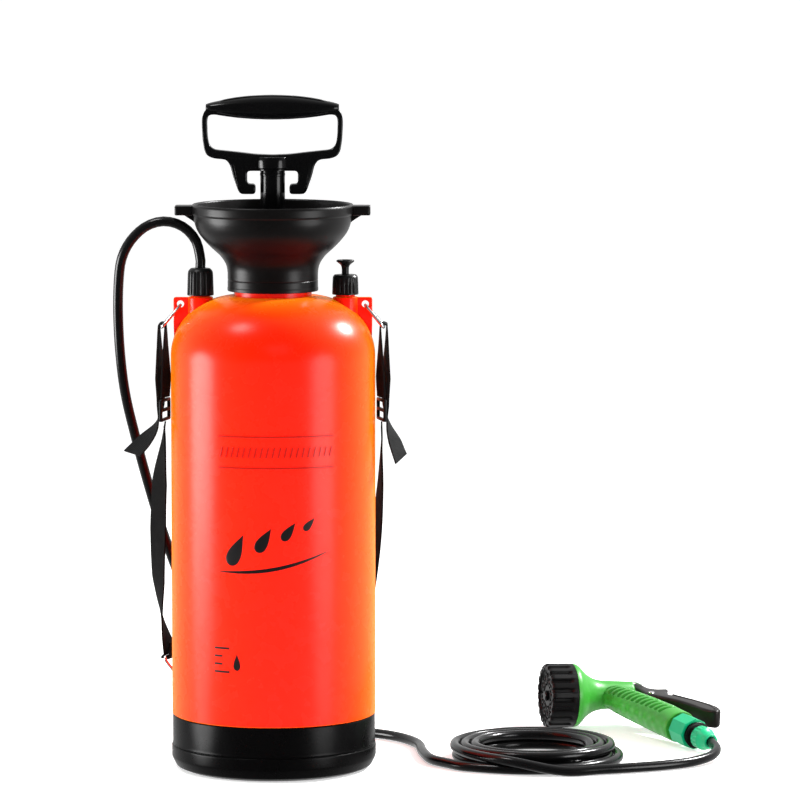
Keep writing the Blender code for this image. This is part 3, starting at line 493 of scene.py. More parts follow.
COIL_CENTRE = (0.2350, 0.0300)
COIL_START = radians(225)
COIL_STEPS = 74  # of 30 degrees, so a little over six turns
STEPS_PER_TURN = 12
TURN_GAP = 0.0093  # from one turn to the next
UPPER_Z = 0.0139  # the second layer's middle


def coil_points():
    """Three turns inwards on the floor, then three outwards on top of them, stepping off at the end."""
    rise = {39: 0.0072, 40: 0.0108}
    leave = {1: (0.0797, FLOOR_RUN), 72: (0.0777, UPPER_Z), 73: (0.0846, 0.0124)}
    points = []
    for step in range(1, COIL_STEPS):
        if step <= 38:
            radius = 0.0775 - TURN_GAP * (step - 2) / STEPS_PER_TURN
            height = FLOOR_RUN
        elif step <= 40:
            radius, height = 0.0492, rise[step]
        else:
            radius = 0.0500 + TURN_GAP * (step - 41) / STEPS_PER_TURN
            height = UPPER_Z
        radius, height = leave.get(step, (radius, height))
        angle = COIL_START + step * 2 * pi / STEPS_PER_TURN
        points.append((COIL_CENTRE[0] + radius * cos(angle), COIL_CENTRE[1] + radius * sin(angle), height))
    return points


def make_hose():
    route = smooth(FROM_TANK + coil_points() + TO_GUN, 0.0060)
    hose = wire("hose", route, HOSE_R, HOSE_BLACK, SPRAYER,
                stands_for=("hose_from_tank", "hose_coil", "hose_to_gun"), sides=5)
    length = sum((b - a).length for a, b in zip(route, route[1:]))
    return hose, round(length, 3)


# ---------------------------------------------------------------- tank and base

TANK_R = 0.0910
TANK_WALL = 0.0030
SHOULDER_Z = 0.3700
DOME_RISE = 0.0535
NECK_R = 0.0345
NECK_BORE_R = 0.0300
NECK_TOP_Z = 0.4465
BASE_TOP_Z = 0.0488
BOSS_X = 0.0644
BOSS_TOP_Z = 0.4225
LUG_THICK = 0.0060
LUG_HOLE = 0.0032
LUG_HOLE_X = 0.0822
LUG_HOLE_Z = 0.4160
LOW_LUG_HOLE_R = 0.0975
LOW_LUG_HOLE_Z = 0.0720
LOW_LUG_ANGLES = (radians(150), radians(50))


def dome(offset, step):
    reach = TANK_R - NECK_R - offset
    rise = DOME_RISE - offset
    angles = [radians(a) for a in range(0, 91, step)]
    return [(NECK_R + reach * cos(a), SHOULDER_Z + rise * sin(a)) for a in angles]


def make_tank():
    inner = TANK_R - TANK_WALL
    side = [(TANK_R, BASE_TOP_Z + 0.0011 + (SHOULDER_Z - BASE_TOP_Z - 0.0011) * i / 12)
            for i in range(12)]
    section = [(0, 0.0120), (0.0550, 0.0095), (0.0700, 0.0045), (0.0780, 0.0045), (0.0862, 0.0125),
               (0.0878, 0.0200), (0.0878, BASE_TOP_Z + 0.0003), (0.0903, BASE_TOP_Z + 0.0006)]
    section += side + dome(0, 3)
    section += rounded([(NECK_R, SHOULDER_Z + DOME_RISE + 0.0010), (NECK_R, NECK_TOP_Z),
                        (NECK_BORE_R, NECK_TOP_Z), (NECK_BORE_R, SHOULDER_Z + DOME_RISE - TANK_WALL)],
                       0.0008, closed=False)
    section += list(reversed(dome(TANK_WALL, 9)))
    section += [(inner, BASE_TOP_Z + 0.0030), (0.0848, BASE_TOP_Z + 0.0005), (0.0848, 0.0220),
                (0.0835, 0.0160), (0.0768, 0.0078), (0.0712, 0.0078), (0.0560, 0.0128), (0, 0.0153)]
    place("tank_shell", turned(section, 144), RED, SPRAYER, ("tank",))
    lug_top = BOSS_TOP_Z - 0.0004
    upper = [(0.0884, lug_top), (0.0884, 0.4000), (0.0879, 0.3826), (0.0847, 0.3911), (0.0801, 0.3991),
             (0.0741, 0.4061), (0.0690, 0.4100), (0.0690, lug_top)]
    lower = mm((89.3, 56), (97.5, 60), (103.5, 67), (103.5, 76), (98, 81.5), (89.3, 88))
    boss = rounded([(0.0045, 0.4035), (0.0112, 0.4035), (0.0112, BOSS_TOP_Z), (0.0084, BOSS_TOP_Z),
                    (0.0084, 0.4270), (0.0045, 0.4270)], 0.0012)
    for (side, word), turn in zip(SIDES, LOW_LUG_ANGLES):
        ring = turned(boss, 48)
        ring.transform(Matrix.Translation((side * BOSS_X, 0, 0)))
        place(f"boss_{word}", ring, RED, SPRAYER)
        outline = [(side * x, z) for x, z in rounded(upper, 0.0022)]
        ear = plate(outline, LUG_THICK, 0.0012, [circle(side * LUG_HOLE_X, LUG_HOLE_Z, LUG_HOLE)])
        place(f"upper_lug_{word}", ear, RED, SPRAYER)
        low = plate(rounded(lower, 0.0025), LUG_THICK, 0.0012,
                    [circle(LOW_LUG_HOLE_R, LOW_LUG_HOLE_Z, LUG_HOLE)])
        low.transform(Matrix.Rotation(turn, 4, "Z"))
        place(f"lower_lug_{word}", low, RED, SPRAYER)


def on_tank(x, z, lift):
    """The point on the tank's front skin this far round it from the middle, lifted off it."""
    angle = x / TANK_R
    radius = TANK_R + lift
    return (radius * sin(angle), -radius * cos(angle), z)


SUNK = 0.0006  # how far the edge of a raised shape runs into the tank's wall


def relief(name, outline, lift, made_of):
    """A thin raised shape that follows the tank's skin. The outline is star-shaped about its centre."""
    rings = 5
    edge = 0.0002
    centre = (sum(x for x, _ in outline) / len(outline), sum(z for _, z in outline) / len(outline))
    bm = bmesh.new()
    loops = []
    steps = [(1.0, -SUNK), (1.0, lift - edge), (0.97, lift)]
    steps += [(1 - part / rings, lift) for part in range(1, rings)]
    for share, height in steps:
        loops.append([bm.verts.new(on_tank(centre[0] + (x - centre[0]) * share,
                                           centre[1] + (z - centre[1]) * share, height))
                      for x, z in outline])
    for lower, upper in zip(loops, loops[1:]):
        for index in range(len(outline)):
            after = (index + 1) % len(outline)
            bm.faces.new((lower[index], lower[after], upper[after], upper[index]))
    bm.faces.new(loops[-1])
    bm.faces.new(loops[0])
    place(name, mesh_of(name, bm), made_of, SPRAYER)


def drop(x, z, size, lean):
    """The outline of a droplet, round below with a point above, leaning over by an angle."""
    points = []
    for part in range(40):
        t = 2 * pi * part / 40
        across = size * 0.62 * sin(t) * sin(t / 2) ** 1.6
        up = size * cos(t)
        points.append((x + across * cos(lean) + up * sin(lean), z - across * sin(lean) + up * cos(lean)))
    return points


def make_base():
    section = rounded([(0, 0), (0.0800, 0), (0.0875, 0.0030), (0.0915, 0.0110), (0.0915, 0.0210),
                       (0.0911, 0.0214), (0.0902, 0.0217), (0.0902, 0.0222), (0.0909, 0.0226),
                       (0.0906, 0.0240), (0.0906, BASE_TOP_Z), (0.0882, BASE_TOP_Z), (0.0882, 0.0120),
                       (0.0800, 0.0036), (0, 0.0036)], 0.0012)
    section[0] = (0, 0)
    place("boot", turned(section, 144), BOOT_BLACK, SPRAYER, ("base_boot",))


# ---------------------------------------------------------------- graphics on the tank

LINE_Z = (0.3065, 0.2790)  # the two raised lines round the tank's front
LINE_X = (-0.0480, 0.0580)
BARS = 20  # between the lines
BAR_HALF_HEIGHT = 0.0045
PRINT_LIFT = 0.00018
DROPS = ((-0.0310, 0.2070, 0.0155, 0.45), (-0.0060, 0.2160, 0.0125, 0.55), (0.0160, 0.2235, 0.0100, 0.65),
         (0.0345, 0.2295, 0.0075, 0.75))  # across, height, size and lean
SWEEP_PARTS = 24
TICK_X = -0.0530
TICK_Z = 0.0980
TICK_GAP = 0.0070


def band(name, x_from, x_to, z, half, lift, made_of):
    """A straight raised line round part of the tank."""
    bm = bmesh.new()
    rows = []
    count = 32
    for up, out in ((-half, -SUNK), (-half * 0.8, lift * 0.8), (0, lift), (half * 0.8, lift * 0.8),
                    (half, -SUNK)):
        rows.append([bm.verts.new(on_tank(x_from + (x_to - x_from) * part / count, z + up, out))
                     for part in range(count + 1)])
    for lower, upper in zip(rows, rows[1:] + rows[:1]):
        for part in range(count):
            bm.faces.new((lower[part], lower[part + 1], upper[part + 1], upper[part]))
    for end in (0, -1):
        bm.faces.new([row[end] for row in rows])
    place(name, mesh_of(name, bm), made_of, SPRAYER)


def make_graphics():
    # The raised lines and bars take the darker red: painted shade along the embossing.
    for index, z in enumerate(LINE_Z):
        band(f"raised_line_{index}", *LINE_X, z, 0.0008, 0.0008, RAISED_SHADED_RED)
    middle = sum(LINE_Z) / 2
    for index in range(BARS):
        x = LINE_X[0] + (LINE_X[1] - LINE_X[0]) * (index + 0.5) / BARS
        bar = [(x - 0.0018, middle - BAR_HALF_HEIGHT), (x - 0.0004, middle - BAR_HALF_HEIGHT),
               (x + 0.0018, middle + BAR_HALF_HEIGHT), (x + 0.0004, middle + BAR_HALF_HEIGHT)]
        relief(f"raised_bar_{index}", rounded(bar, 0.0005), 0.0007, RAISED_SHADED_RED)
    for index, where in enumerate(DROPS):
        relief(f"print_drop_{index}", drop(*where), PRINT_LIFT, PRINT)
    sweep = []
    for part in range(SWEEP_PARTS + 1):
        t = part / SWEEP_PARTS
        half = 0.0017 * abs(sin(pi * t)) ** 0.7
        z = 0.1870 + 0.0180 * t - 0.0060 * sin(pi * t)
        sweep.append((-0.0500 + 0.1040 * t, z + half, z - half))
    stroke("print_sweep", sweep, PRINT_LIFT, PRINT)
    for index, width in enumerate((0.0150, 0.0080, 0.0080, 0.0150)):
        band(f"print_tick_{index}", TICK_X, TICK_X + width, TICK_Z + TICK_GAP * index, 0.0011, PRINT_LIFT,
             PRINT)
    relief("print_level", drop(-0.0310, 0.1070, 0.0075, 0), PRINT_LIFT, PRINT)


def stroke(name, places, lift, made_of):
    """A brush stroke that follows the tank, from its (place across, upper edge, lower edge) points."""
    bm = bmesh.new()
    rows = []
    for share, out in ((0, -SUNK), (0.02, lift), (0.5, lift), (0.98, lift), (1, -SUNK)):
        rows.append([bm.verts.new(on_tank(x, top + (bottom - top) * share, out)) for x, top,
            bottom in places])
    for first, second in zip(rows, rows[1:] + rows[:1]):
        for part in range(len(places) - 1):
            bm.faces.new((first[part], first[part + 1], second[part + 1], second[part]))
    for end in (0, -1):
        bm.faces.new([row[end] for row in rows])
    bmesh.ops.remove_doubles(bm, verts=bm.verts, dist=1e-7)
    place(name, mesh_of(name, bm), made_of, SPRAYER)


# ---------------------------------------------------------------- funnel and pump

COLLAR_R = 0.0402
FUNNEL_BOTTOM_Z = 0.4280
FUNNEL_TOP_Z = 0.5050
CAP_FLOOR_Z = 0.4540
GUIDE_TOP_Z = 0.4965
GUIDE_BORE_R = 0.0115
CYLINDER_R = 0.0248
ROD_R = 0.0110
ROD_TOP_Z = 0.5440
ROD_FOOT_Z = 0.2623


def bend(points, step=0.0012):
    """A section's points on a smooth curve through a few of them."""
    return [(point.x, point.z) for point in smooth([(r, 0, z) for r, z in points], step)]


def make_funnel():
    outside = bend(mm((40.3, 444), (40.7, 448), (42.4, 453), (47, 459.5), (54.5, 466.4), (61.5, 473.8),
        (66.8, 481.2), (69.6, 489), (70.4, 495)))
    inside = bend(mm((68.2, 495.5), (67.6, 490), (64.6, 482.2), (57.2, 472.8), (48, 464), (41, 458),
        (38.5, 454.8)))
    collar = rounded([(0.0365, FUNNEL_BOTTOM_Z), (0.0404, FUNNEL_BOTTOM_Z), (0.0404, 0.4308),
                      (COLLAR_R, 0.4316), (COLLAR_R, 0.4372), (0.0399, 0.4375), (0.0399, 0.4379),
                      (0.0402, 0.4382), (0.0402, 0.4440)], 0.0006, closed=False)
    lip = rounded([(0.0704, 0.4950), (0.0717, 0.4965), (0.0719, 0.5030), (0.0712, FUNNEL_TOP_Z),
                   (0.0696, FUNNEL_TOP_Z), (0.0688, 0.5040), (0.0682, 0.4955)], 0.0007, closed=False)
    section = collar + outside[1:] + lip[1:] + inside[1:]
    section += [(0.0375, CAP_FLOOR_Z), (0.0305, CAP_FLOOR_Z), (0.0305, NECK_TOP_Z + 0.0021),
                (0.0365, NECK_TOP_Z + 0.0021)]
    place("funnel_bowl", turned(section, 144), FUNNEL_BLACK, SPRAYER, ("funnel",))
    for side, word in SIDES:
        ear = rounded(mm((70, -11), (86.8, -10.2), (86.8, 10.2), (70, 11)), 0.0022)
        flat = plate([(side * x, y) for x, y in ear], 0.0084, 0.0010)
        flat.transform(Matrix.Rotation(pi / 2, 4, "X"))
        flat.transform(Matrix.Translation((0, 0, 0.4995)))
        place(f"funnel_ear_{word}", flat, FUNNEL_BLACK, SPRAYER)
        rib = plate(rounded([(side * 0.0655, 0.4850), (side * 0.0712, 0.4900), (side * 0.0800, 0.4957),
                             (side * 0.0690, 0.4957)], 0.0008), 0.0026, 0.0005)
        place(f"funnel_rib_{word}", rib, FUNNEL_BLACK, SPRAYER)


def make_pump():
    floor = CAP_FLOOR_Z + 0.0022
    cap = [(CYLINDER_R + 0.0004, 0.4475), (0.0300, 0.4475), (0.0300, floor), (0.0360, floor),
           *rounded([(0.0360, 0.4600), (0.0360, 0.4612), (0.0345, 0.4625), (0.0345, 0.4627),
                     (0.0190, 0.4640), (0.0143, 0.4665), (0.0137, GUIDE_TOP_Z),
                     (GUIDE_BORE_R, GUIDE_TOP_Z)], 0.0012, closed=False),
           (GUIDE_BORE_R, 0.4580), (CYLINDER_R + 0.0004, 0.4580)]
    place("pump_cap_top", turned(cap, 96), BLACK, "pump_unit", ("pump_cap",))
    for side, word in ((-1, "front"), (1, "back")):
        arc = [(0.0212 * sin(radians(a)), side * 0.0212 * cos(radians(a))) for a in (-25, -9, 9, 25)]
        outline = [(-0.0055, side * 0.0124), *arc, (0.0055, side * 0.0124)]
        lug = plate(rounded(outline, 0.0012), 0.0060, 0.0008)
        lug.transform(Matrix.Rotation(-pi / 2, 4, "X"))
        lug.transform(Matrix.Translation((0, 0, GUIDE_TOP_Z - 0.0030)))
        place(f"lock_lug_{word}", lug, BLACK, "pump_unit")
    for index in range(12):
        angle = 2 * pi * (index + 0.5) / 12
        web = plate(rounded(mm((13.9, 466), (13.9, 472), (20, 464.3), (33, 462.7), (33, 462)), 0.0004),
            0.0016, 0.0003)
        web.transform(Matrix.Rotation(angle, 4, "Z"))
        place(f"cap_web_{index}", web, BLACK, "pump_unit")
    tube = rounded([(ROD_R - 0.0008, ROD_FOOT_Z), (ROD_R, ROD_FOOT_Z + 0.0008), (ROD_R, 0.5300),
                     (ROD_R + 0.0003, 0.5303), (ROD_R + 0.0003, 0.5322), (ROD_R, 0.5325),
                     (ROD_R, ROD_TOP_Z), (0.0085, ROD_TOP_Z), (0.0085, ROD_FOOT_Z + 0.0137),
                     (0.0042, ROD_FOOT_Z + 0.0137), (0.0042, ROD_FOOT_Z)], 0.0002)
    place("rod_tube", turned(tube, 72), GLOSS_BLACK, "rod", ("pump_rod",))


def mirrored(half):
    return half + [(-x, z) for x, z in reversed(half) if x > 0]


HANDLE_TOP_Z = 0.6017
HANDLE_UNDER_Z = 0.5346


def make_handle():
    top = HANDLE_TOP_Z
    outline = mirrored([(0, top), (0.0110, top - 0.0003), (0.0220, top - 0.0009), (0.0330, top - 0.0022),
                        (0.0440, top - 0.0042), (0.0540, 0.5932), (0.0600, 0.5880), (0.0623, 0.5820),
                        (0.0625, 0.5750), (0.0618, 0.5620), (0.0602, 0.5520), (0.0575, 0.5478),
                        (0.0520, 0.5456), (0.0410, 0.5446), (0.0375, 0.5400), (0.0350, 0.5300),
                        (0.0305, 0.5172), (0.0280, 0.5140), (0.0150, 0.5140), (0.0150, 0.5230),
                        (0.0225, 0.5230), (0.0225, HANDLE_UNDER_Z)])
    window = mirrored(mm((0, 580), (15, 580.3), (30, 581.4), (42, 582.9), (52, 584.6), (56.6, 583.6),
        (57.8, 579), (57.4, 565), (56.1, 557.5), (52, 553.5), (30, 551.2), (15, 549.4), (0, 548.8)))
    frame_mesh = plate(rounded(outline, 0.0030), 0.0166, 0.0019, [rounded(window, 0.0034)], resolution=5)
    bm = bmesh.new()
    bm.from_mesh(frame_mesh)
    for vert in bm.verts:  # the frame is slimmer than its hooks
        share = min(max((vert.co.z - 0.5440) / 0.0100, 0), 1)
        vert.co.y *= 1 - 0.28 * share
    place("handle_frame", mesh_of("handle_frame", bm), GLOSS_BLACK, "rod", ("handle",))
    rings = []
    for part in range(49):
        x = -0.0590 + 0.1180 * part / 48
        crown = sqrt(max(1 - (x / 0.0592) ** 2, 0.0004))
        up = HANDLE_TOP_Z - 0.0002 - 0.0022 * (x / 0.0400) ** 2
        down = 0.5797 + 0.0012 * (x / 0.0300) ** 2
        middle = (up + down) / 2
        tall = (up - down) / 2 * (0.42 + 0.58 * crown)
        deep = 0.0040 + 0.0086 * crown
        ring = []
        for step in range(36):
            a = 2 * pi * step / 36
            ring.append((x, deep * abs(cos(a)) ** 0.9 * (1 if cos(a) > 0 else -1),
                         middle + tall * abs(sin(a)) ** 0.9 * (1 if sin(a) > 0 else -1)))
        rings.append(ring)
    place("handle_grip", lofted(rings), GLOSS_BLACK, "rod")
    hub_top = 0.5470
    hub_bottom = ROD_TOP_Z + 0.0004
    hub = rounded([(0, hub_top), (0.0144, hub_top), (0.0148, 0.5440), (0.0148, 0.5372), (0.0140, 0.5362),
                   (0.0140, 0.5348), (ROD_R + 0.0004, 0.5348), (ROD_R + 0.0004, hub_bottom),
                   (0, hub_bottom)], 0.0007)
    hub = [(0, hub_top), *[point for point in hub if point[0] > 0.0005], (0, hub_bottom)]
    place("handle_hub", turned(hub, 72), GLOSS_BLACK, "rod")
    for side, word in SIDES:
        rib = plate([(side * 0.0291, 0.5190), (side * 0.0303, 0.5190), (side * 0.0343, 0.5400),
                     (side * 0.0331, 0.5400)], 0.0170, 0.0003)
        place(f"hook_rib_{word}", rib, GLOSS_BLACK, "rod")


# ---------------------------------------------------------------- outlet and relief valve

OUTLET_TOP_Z = 0.4480
SPIGOT_SEAT_Z = 0.4270
FLUTES = 18
RELIEF_COIL_LOW = 0.4330
RELIEF_COIL_HIGH = 0.4393
RELIEF_COIL_R = 0.0047
RELIEF_WIRE_R = 0.0004
RELIEF_TURNS = 4


def moved(mesh, x):
    mesh.transform(Matrix.Translation((x, 0, 0)))
    return mesh


def make_fittings():
    seat = SPIGOT_SEAT_Z
    nut = turned(rounded([(0.0089, BOSS_TOP_Z + 0.0012), (0.0119, BOSS_TOP_Z + 0.0012),
                          (0.0118, 0.4260), (0.0116, 0.4330), (0.0113, 0.4430), (0.0108, 0.4456),
                          (0.0085, OUTLET_TOP_Z), (0.0047, OUTLET_TOP_Z), (0.0047, seat + 0.0041),
                          (0.0089, seat + 0.0041)], 0.0009), 144)
    fluted(nut, FLUTES, BOSS_TOP_Z + 0.0025, 0.4448, 0.0105, 0.0009, 6.0)
    place("outlet_cap", moved(nut, -BOSS_X), BLACK, SPRAYER, ("outlet_nut",))
    top = 0.4422
    body = turned(rounded([(0.0089, BOSS_TOP_Z + 0.0020), (0.0118, BOSS_TOP_Z + 0.0020),
                           (0.0117, 0.4260), (0.0115, 0.4330), (0.0112, top - 0.0020),
                           (0.0098, top), (0.0037, top), (0.0037, top - 0.0022),
                           (0.0062, top - 0.0022), (0.0062, seat + 0.0030), (0.0030, seat + 0.0030),
                           (0.0030, seat + 0.0017), (0.0089, seat + 0.0017)], 0.0006), 144)
    fluted(body, FLUTES, BOSS_TOP_Z + 0.0035, top - 0.0026, 0.0104, 0.0009, 6.0)
    place("relief_cap", moved(body, BOSS_X), BLACK, SPRAYER, ("relief_body",))
    knob = 0.4553
    stem = [(0, seat + 0.0045), (0.0057, seat + 0.0045), (0.0057, seat + 0.0053),
            (0.0032, seat + 0.0053), (0.0032, 0.4440)]
    stem += bend(mm((3.2, 444.1), (3.2, 446.5), (3.4, 448.8), (4.3, 450.8), (6.2, 452.4), (7.6, 453.4)),
        0.0005)
    stem += rounded([(0.0079, 0.4537), (0.0080, knob - 0.0006), (0.0072, knob), (0.0045, knob - 0.0004),
                     (0.0042, knob - 0.0012)], 0.0004, closed=False) + [(0, knob - 0.0014)]
    place("relief_knob", moved(turned(stem, 72, close=False), BOSS_X), BLACK, "relief", ("relief_stem",))
    make_relief_coil()




def make_relief_coil():
    """The valve's spring. Its top stays under the cap."""
    steps = 20 * RELIEF_TURNS
    rings = []
    for step in range(steps + 1):
        turn = 2 * pi * RELIEF_TURNS * step / steps
        out = Vector((cos(turn), sin(turn), 0))
        height = RELIEF_COIL_LOW + (RELIEF_COIL_HIGH - RELIEF_COIL_LOW) * step / steps
        middle = Vector((BOSS_X, 0, height)) + out * RELIEF_COIL_R
        rings.append([middle + out * x + Vector((0, 0, z)) for x, z in circle(0, 0, RELIEF_WIRE_R, 10)])
    coil = place("relief_coil", lofted(rings), STEEL, SPRAYER, ("relief_spring",))
    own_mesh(coil)


# ---------------------------------------------------------------- straps

RING_BAR_X = 0.0985
RING_BAR_Z = 0.3960
LOW_RING_BAR_R = 0.1070
LOW_RING_BAR_Z = 0.0930
STRAP_WIDTH = 0.0220
STRAP_THICK = 0.0015
WIRE_R = 0.0014
WRAP_R = 0.0029


def between(values, share):
    """The value at this share of the way through a list of vectors."""
    where = min(max(share, 0), 0.9999) * (len(values) - 1)
    first = int(where)
    return Vector(values[first]).lerp(Vector(values[first + 1]), where - first)


def nearest_share(points, here):
    """How far along the line through these points it comes nearest to this place, as a share."""
    best = (1e9, 0.0)
    for index, (a, b) in enumerate(zip(points, points[1:])):
        start = Vector(a)
        run = Vector(b) - start
        t = min(max((here - start).dot(run) / run.length_squared, 0), 1)
        best = min(best, ((here - start - run * t).length, (index + t) / (len(points) - 1)))
    return best[1]


def ribbon(name, points, across, made_of, node, slant=0.0):
    """Webbing along a route, with bound edges and a slanted end, and the length that it was cut to."""
    route = smooth(points, 0.0016)
    half = STRAP_WIDTH / 2
    thick = STRAP_THICK / 2
    profile = [(-half, 0), (-half + 0.0004, -thick), (-half * 0.5, -thick * 0.9), (0, -thick * 0.85),
               (half * 0.5, -thick * 0.9), (half - 0.0004, -thick), (half, 0), (half - 0.0004, thick),
               (half * 0.5, thick * 0.9), (0, thick * 0.85), (-half * 0.5, thick * 0.9),
               (-half + 0.0004, thick)]
    rings = []
    along_strap = []
    walked = 0.0
    for index, here in enumerate(route):
        before = route[max(index - 1, 0)]
        after = route[min(index + 1, len(route) - 1)]
        along = (after - before).normalized()
        side = between(across, nearest_share(points, here))
        side = (side - along * side.dot(along)).normalized()
        over = along.cross(side).normalized()
        lean = slant * max(0, 1 - (len(route) - 1 - index) / 4)
        rings.append([here + side * s + over * o + along * s * lean for s, o in profile])
        walked += (here - route[index - 1]).length if index else 0
        along_strap.append(walked)
    uv = ([s for s, _ in profile] + [profile[0][0]], along_strap)
    piece = place(name, lofted(rings, uv=uv), made_of, SPRAYER, (node,), angle=40)
    return piece, walked


def wire_ring(name, apex, base, along, node):
    narrow = along * 0.0048
    wide = along * 0.0155
    shoulder = (apex - base).normalized() * 0.0039
    points = [apex - narrow, apex + narrow, base + wide + shoulder, base + wide * 0.86,
              base - wide * 0.86, base - wide + shoulder]
    soft = []
    for index, corner in enumerate(points):
        before = points[index - 1]
        after = points[(index + 1) % len(points)]
        start = corner.lerp(before, 0.3)
        end = corner.lerp(after, 0.3)
        for part in range(7):
            t = part / 6
            soft.append(start * (1 - t) ** 2 + corner * 2 * t * (1 - t) + end * t * t)
    ring = wire(name, soft, WIRE_R, CHROME, SPRAYER, closed=True, stands_for=(node,))


def turn_round(bar, out, first, last):
    up = Vector((0, 0, 1))
    angles = [radians(first + (last - first) * part / 4) for part in range(5)]
    return [bar + (out * cos(a) + up * sin(a)) * WRAP_R for a in angles]


def make_strap_end(word, side, tail, tail_across):
    out = Vector((side, 0, 0))
    level = Vector((0, 1, 0))
    bar = Vector((side * RING_BAR_X, 0, RING_BAR_Z))
    wire_ring(f"ring_wire_{word}", Vector((side * LUG_HOLE_X, 0, LUG_HOLE_Z - 0.0010)), bar, level,
              f"strap_ring_{word}")
    route = [Vector((side * x, 0, z)) for x, z in mm((96.2, 332.5), (95.5, 350), (95.6, 378))]
    route += turn_round(bar, out, 180, 0)
    route += [Vector((side * x, 0, z)) for x, z in mm((101.2, 378), (100.6, 350), (100.4, 325))]
    turned_out = [Vector((-side * lean, 1, 0)) for lean in (0.30, 0.34, 0.12)]
    across = turned_out + [level] * 5 + [turned_out[2], turned_out[1]]
    across += [turned_out[0].lerp(Vector(tail_across), share) for share in (0.1, 0.5, 0.9, 1)]
    loop, length = ribbon(f"loop_webbing_{word}", route + [Vector(point) for point in tail], across,
                          WEBBING_GREY, f"strap_loop_{word}", slant=-0.30 * side)
    holes = [rounded([(-0.0115, low), (0.0115, low), (0.0115, high), (-0.0115, high)], 0.0008)
             for low, high in ((0.0015, 0.0072), (-0.0072, -0.0015))]
    slide = plate(rounded(mm((-14, -10), (14, -10), (14, 10), (-14, 10)), 0.0020), 0.0030, 0.0008, holes)
    slide.transform(Matrix.Rotation(pi / 2 + side * 0.24, 4, "Z"))
    slide.transform(Matrix.Translation((side * 0.0966, 0, 0.3215)))
    place(f"buckle_slide_{word}", slide, BLACK, SPRAYER, (f"strap_buckle_{word}",))


def make_strap_run(word, angle, route, across):
    out = Vector((cos(angle), sin(angle), 0))
    level = Vector((-sin(angle), cos(angle), 0))
    bar = out * LOW_RING_BAR_R + Vector((0, 0, LOW_RING_BAR_Z))
    hole = out * LOW_LUG_HOLE_R + Vector((0, 0, LOW_LUG_HOLE_Z + 0.0010))
    wire_ring(f"low_wire_{word}", hole, bar, level, f"low_ring_{word}")
    route = [Vector(point) for point in route] + turn_round(bar, out, 0, -180)
    route.append(bar - out * WRAP_R + Vector((0, 0, 0.0120)))
    across = [Vector(side) for side in across] + [level * (1 if level.y > 0 else -1)] * 6
    strap, length = ribbon(f"webbing_{word}", route, across, WEBBING, f"strap_{word}")


def make_straps():
    make_strap_end("left", -1, mm((-104.5, -3, 308), (-115, -7, 294), (-125.5, -9, 283)), (-0.40, 0.80, 0.45))
    make_strap_end("right", 1, mm((103, -2, 308), (108.5, -5, 293), (114, -8, 278)), (0.45, 0.85, 0.25))
    make_strap_run("left", LOW_LUG_ANGLES[0], mm((-96.6, 0, 308.5), (-97.8, 2.5, 290), (-102, 11, 255),
        (-104, 20, 210), (-104.5, 31, 165), (-102, 44, 125)), [(0, 1, 0), (-0.2, 1, 0), (-0.6, 0.8, 0),
        (-0.65, 0.75, 0), (-0.5, 0.85, 0), (0, 1, 0)])
    make_strap_run("right", LOW_LUG_ANGLES[1], mm((96.6, 0, 308.5), (96.8, 2.5, 290), (95.5, 20, 250),
        (91.5, 39, 205), (84.5, 58, 160), (76.5, 74, 120)), [(0, 1, 0), (0, 1, 0), (-0.2, 1, 0),
        (-0.4, 0.9, 0), (-0.6, 0.8, 0), (-0.7, 0.7, 0)])


# ---------------------------------------------------------------- trigger gun

BARREL_TILT = radians(15)
BARREL_CROSS_Z = 0.1260
TRIGGER_PIVOT = (0.0234, 0.0918)
BAIL_PIVOT = (0.0275, 0.1170)
TRIGGER_HALF = 0.0085
DIAL_R = 0.0300
DIAL_BACK = 0.0386
DIAL_RIBS = 20
DIAL_VALLEY = 0.0024
DIAL_JETS = 8
JETS_R = 0.0162
FACE_UP = Matrix.Translation((0, 0, 0.0610)) @ Matrix.Rotation(pi / 2, 4, "X")  # lays a plate on the dial
SLEEVE_R = 0.0145
SLEEVE_BOTTOM_Z = -0.0256
HOSE_NUT_END_Z = -0.0549
GUN_HEADING = radians(118)
GUN_FOOT = (0.3700, 0.1030)
GUN_TILT = asin((DIAL_R - SLEEVE_R) / (BARREL_CROSS_Z + DIAL_BACK * sin(BARREL_TILT) - SLEEVE_BOTTOM_Z))
GUN_HEIGHT = 0.0003 + SLEEVE_R - SLEEVE_BOTTOM_Z * sin(GUN_TILT)
BARREL = Matrix.Translation((0, 0, BARREL_CROSS_Z)) @ Matrix.Rotation(BARREL_TILT - pi / 2, 4, "Y")


def gun_matrix():
    level = Vector((cos(GUN_HEADING - pi / 2), sin(GUN_HEADING - pi / 2), 0))
    up_handle = Vector((cos(GUN_HEADING) * cos(GUN_TILT), sin(GUN_HEADING) * cos(GUN_TILT),
                        sin(GUN_TILT)))
    across = up_handle.cross(level)
    return Matrix.Translation((*GUN_FOOT, GUN_HEIGHT)) @ Matrix(
        (level, across, up_handle)).transposed().to_4x4()


GUN = gun_matrix()


def on_gun(name, mesh, made_of, body=SPRAYER, stands_for=(), barrel=False, angle=32):
    mesh.transform(GUN @ BARREL if barrel else GUN)
    return place(name, mesh, made_of, body, stands_for, angle=angle)


